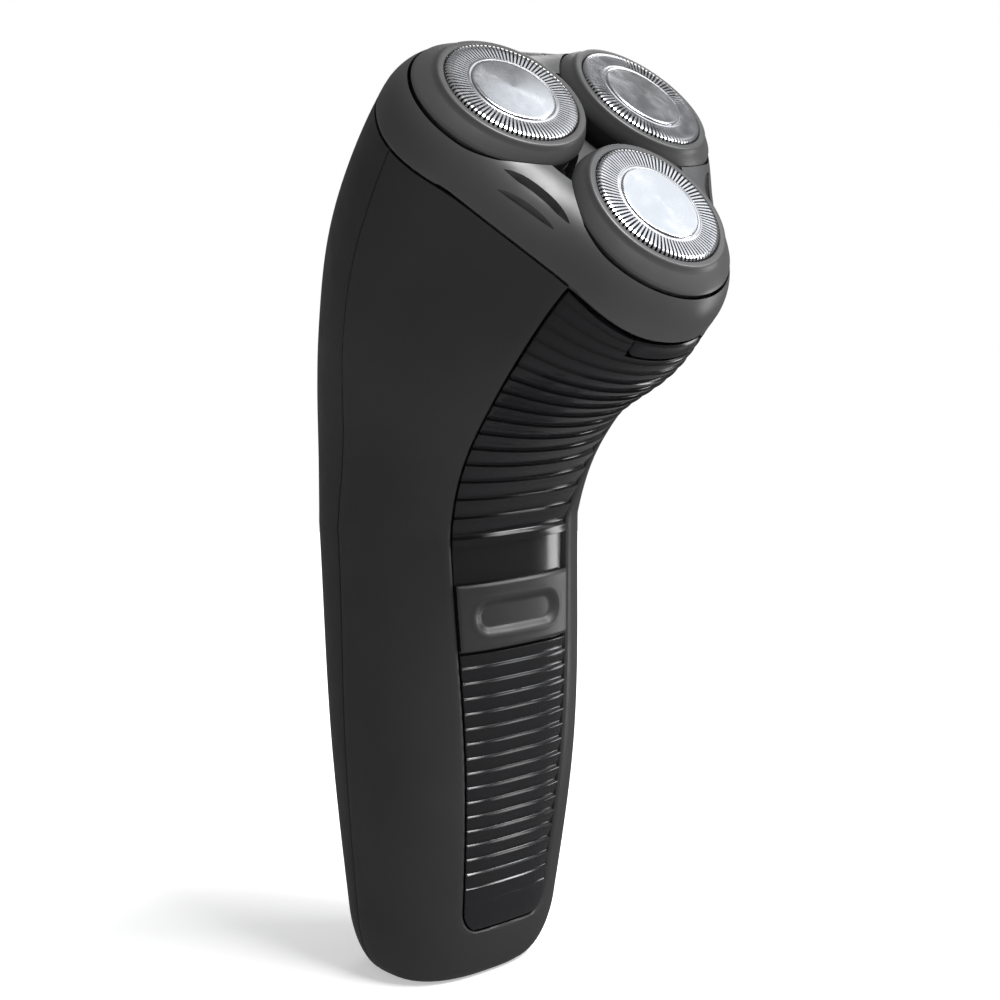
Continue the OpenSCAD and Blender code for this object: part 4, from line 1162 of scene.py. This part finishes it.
def lay_floor(scene):
    """Pale round floor that glows faintly and is left out of the gloss on the plastics."""
    mesh = bpy.data.meshes.new("floor")
    turn = [radians(a) for a in range(0, 360, 5)]
    verts = [(FLOOR_R * cos(a), FLOOR_R * sin(a), 0) for a in turn]
    mesh.from_pydata(verts, [], [tuple(range(len(verts)))])
    floor = bpy.data.objects.new("floor", mesh)
    scene.collection.objects.link(floor)
    material, tree, shader, where = nodes_of("pale_floor")
    tree.links.new(ramp(tree, noise(tree, where, 3, 2), 0.90, 0.93), shader.inputs["Base Color"])
    shader.inputs["Roughness"].default_value = 0.9
    shader.inputs["Specular IOR Level"].default_value = 0.1
    shader.inputs["Emission Color"].default_value = (1, 1, 1, 1)
    shader.inputs["Emission Strength"].default_value = 0.45
    mesh.materials.append(material)
    floor.visible_glossy = False


def light_world(scene):
    """White background, which lights the shaver with a fifth of its strength."""
    world = bpy.data.worlds.new("studio")
    scene.world = world
    world.use_nodes = True
    tree = world.node_tree
    back = next(n for n in tree.nodes if n.type == "BACKGROUND")
    back.inputs["Color"].default_value = (1, 1, 1, 1)
    seen = tree.nodes.new("ShaderNodeLightPath")
    level = tree.nodes.new("ShaderNodeMapRange")
    level.inputs["To Min"].default_value = 0.2
    level.inputs["To Max"].default_value = 1.0
    tree.links.new(seen.outputs["Is Camera Ray"], level.inputs["Value"])
    tree.links.new(level.outputs["Result"], back.inputs["Strength"])


def soft_light(scene, name, place, target, size, power, colour):
    """Rectangular lamp that faces its target."""
    data = bpy.data.lights.new(name, "AREA")
    data.shape = "RECTANGLE"
    data.size, data.size_y = size
    data.energy = power
    data.color = colour
    lamp = bpy.data.objects.new(name, data)
    lamp.location = place
    lamp.rotation_euler = (Vector(target) - Vector(place)).to_track_quat("-Z", "Y").to_euler()
    scene.collection.objects.link(lamp)


def set_camera(scene):
    data = bpy.data.cameras.new("camera")
    data.lens, data.sensor_width = LENS, 36.0
    data.clip_start, data.clip_end = 0.01, 20
    camera = bpy.data.objects.new("camera", data)
    az, el = radians(CAMERA_AZ), radians(CAMERA_EL)
    away = Vector((sin(az) * cos(el), -cos(az) * cos(el), sin(el)))
    camera.location = Vector(CAMERA_AT) * MM
    camera.rotation_euler = (-away).to_track_quat("-Z", "Y").to_euler()
    scene.collection.objects.link(camera)
    scene.camera = camera


class SHAVER_OT_stage(Operator):
    """Set the floor, the studio lights and the camera"""

    bl_idname = "shaver.stage"
    bl_label = "Stage"

    def execute(self, context):
        scene = context.scene
        scene.view_settings.view_transform = "Standard"
        scene.view_settings.look = "None"
        lay_floor(scene)
        light_world(scene)
        for light in LIGHTS:
            soft_light(scene, *light)
        set_camera(scene)
        return {"FINISHED"}


class SHAVER_PT_panel(Panel):
    """Sidebar panel of the shaver's pieces"""

    bl_label = "Rotary Shaver"
    bl_idname = "SHAVER_PT_panel"
    bl_space_type = "VIEW_3D"
    bl_region_type = "UI"
    bl_category = "Shaver"

    def draw(self, context):
        layout = self.layout
        for group in (context.scene.shaver_sizes, context.scene.shaver_colours):
            column = layout.column(align=True)
            for name in group.bl_rna.properties.keys():
                if name not in ("rna_type", "name"):
                    column.prop(group, name)
        column = layout.column(align=True)
        for operator in OPERATORS:
            column.operator(operator.bl_idname)


OPERATORS = (
    SHAVER_OT_inner_parts,
    SHAVER_OT_front_shell,
    SHAVER_OT_rear_shell,
    SHAVER_OT_grip_panel,
    SHAVER_OT_switch,
    SHAVER_OT_release_button,
    SHAVER_OT_collar,
    SHAVER_OT_cups,
    SHAVER_OT_guards,
    SHAVER_OT_caps,
    SHAVER_OT_stage,
)
CLASSES = (SHAVER_PG_colours, SHAVER_PG_sizes, *OPERATORS, SHAVER_PT_panel)


def register():
    for cls in CLASSES:
        bpy.utils.register_class(cls)
    bpy.types.Scene.shaver_colours = PointerProperty(type=SHAVER_PG_colours)
    bpy.types.Scene.shaver_sizes = PointerProperty(type=SHAVER_PG_sizes)


def unregister():
    del bpy.types.Scene.shaver_sizes
    del bpy.types.Scene.shaver_colours
    for cls in reversed(CLASSES):
        bpy.utils.unregister_class(cls)


def main():
    register()
    for operator in OPERATORS:
        group, name = operator.bl_idname.split(".")
        getattr(getattr(bpy.ops, group), name)()
    bpy.context.view_layer.update()


if __name__ == "__main__":
    main()
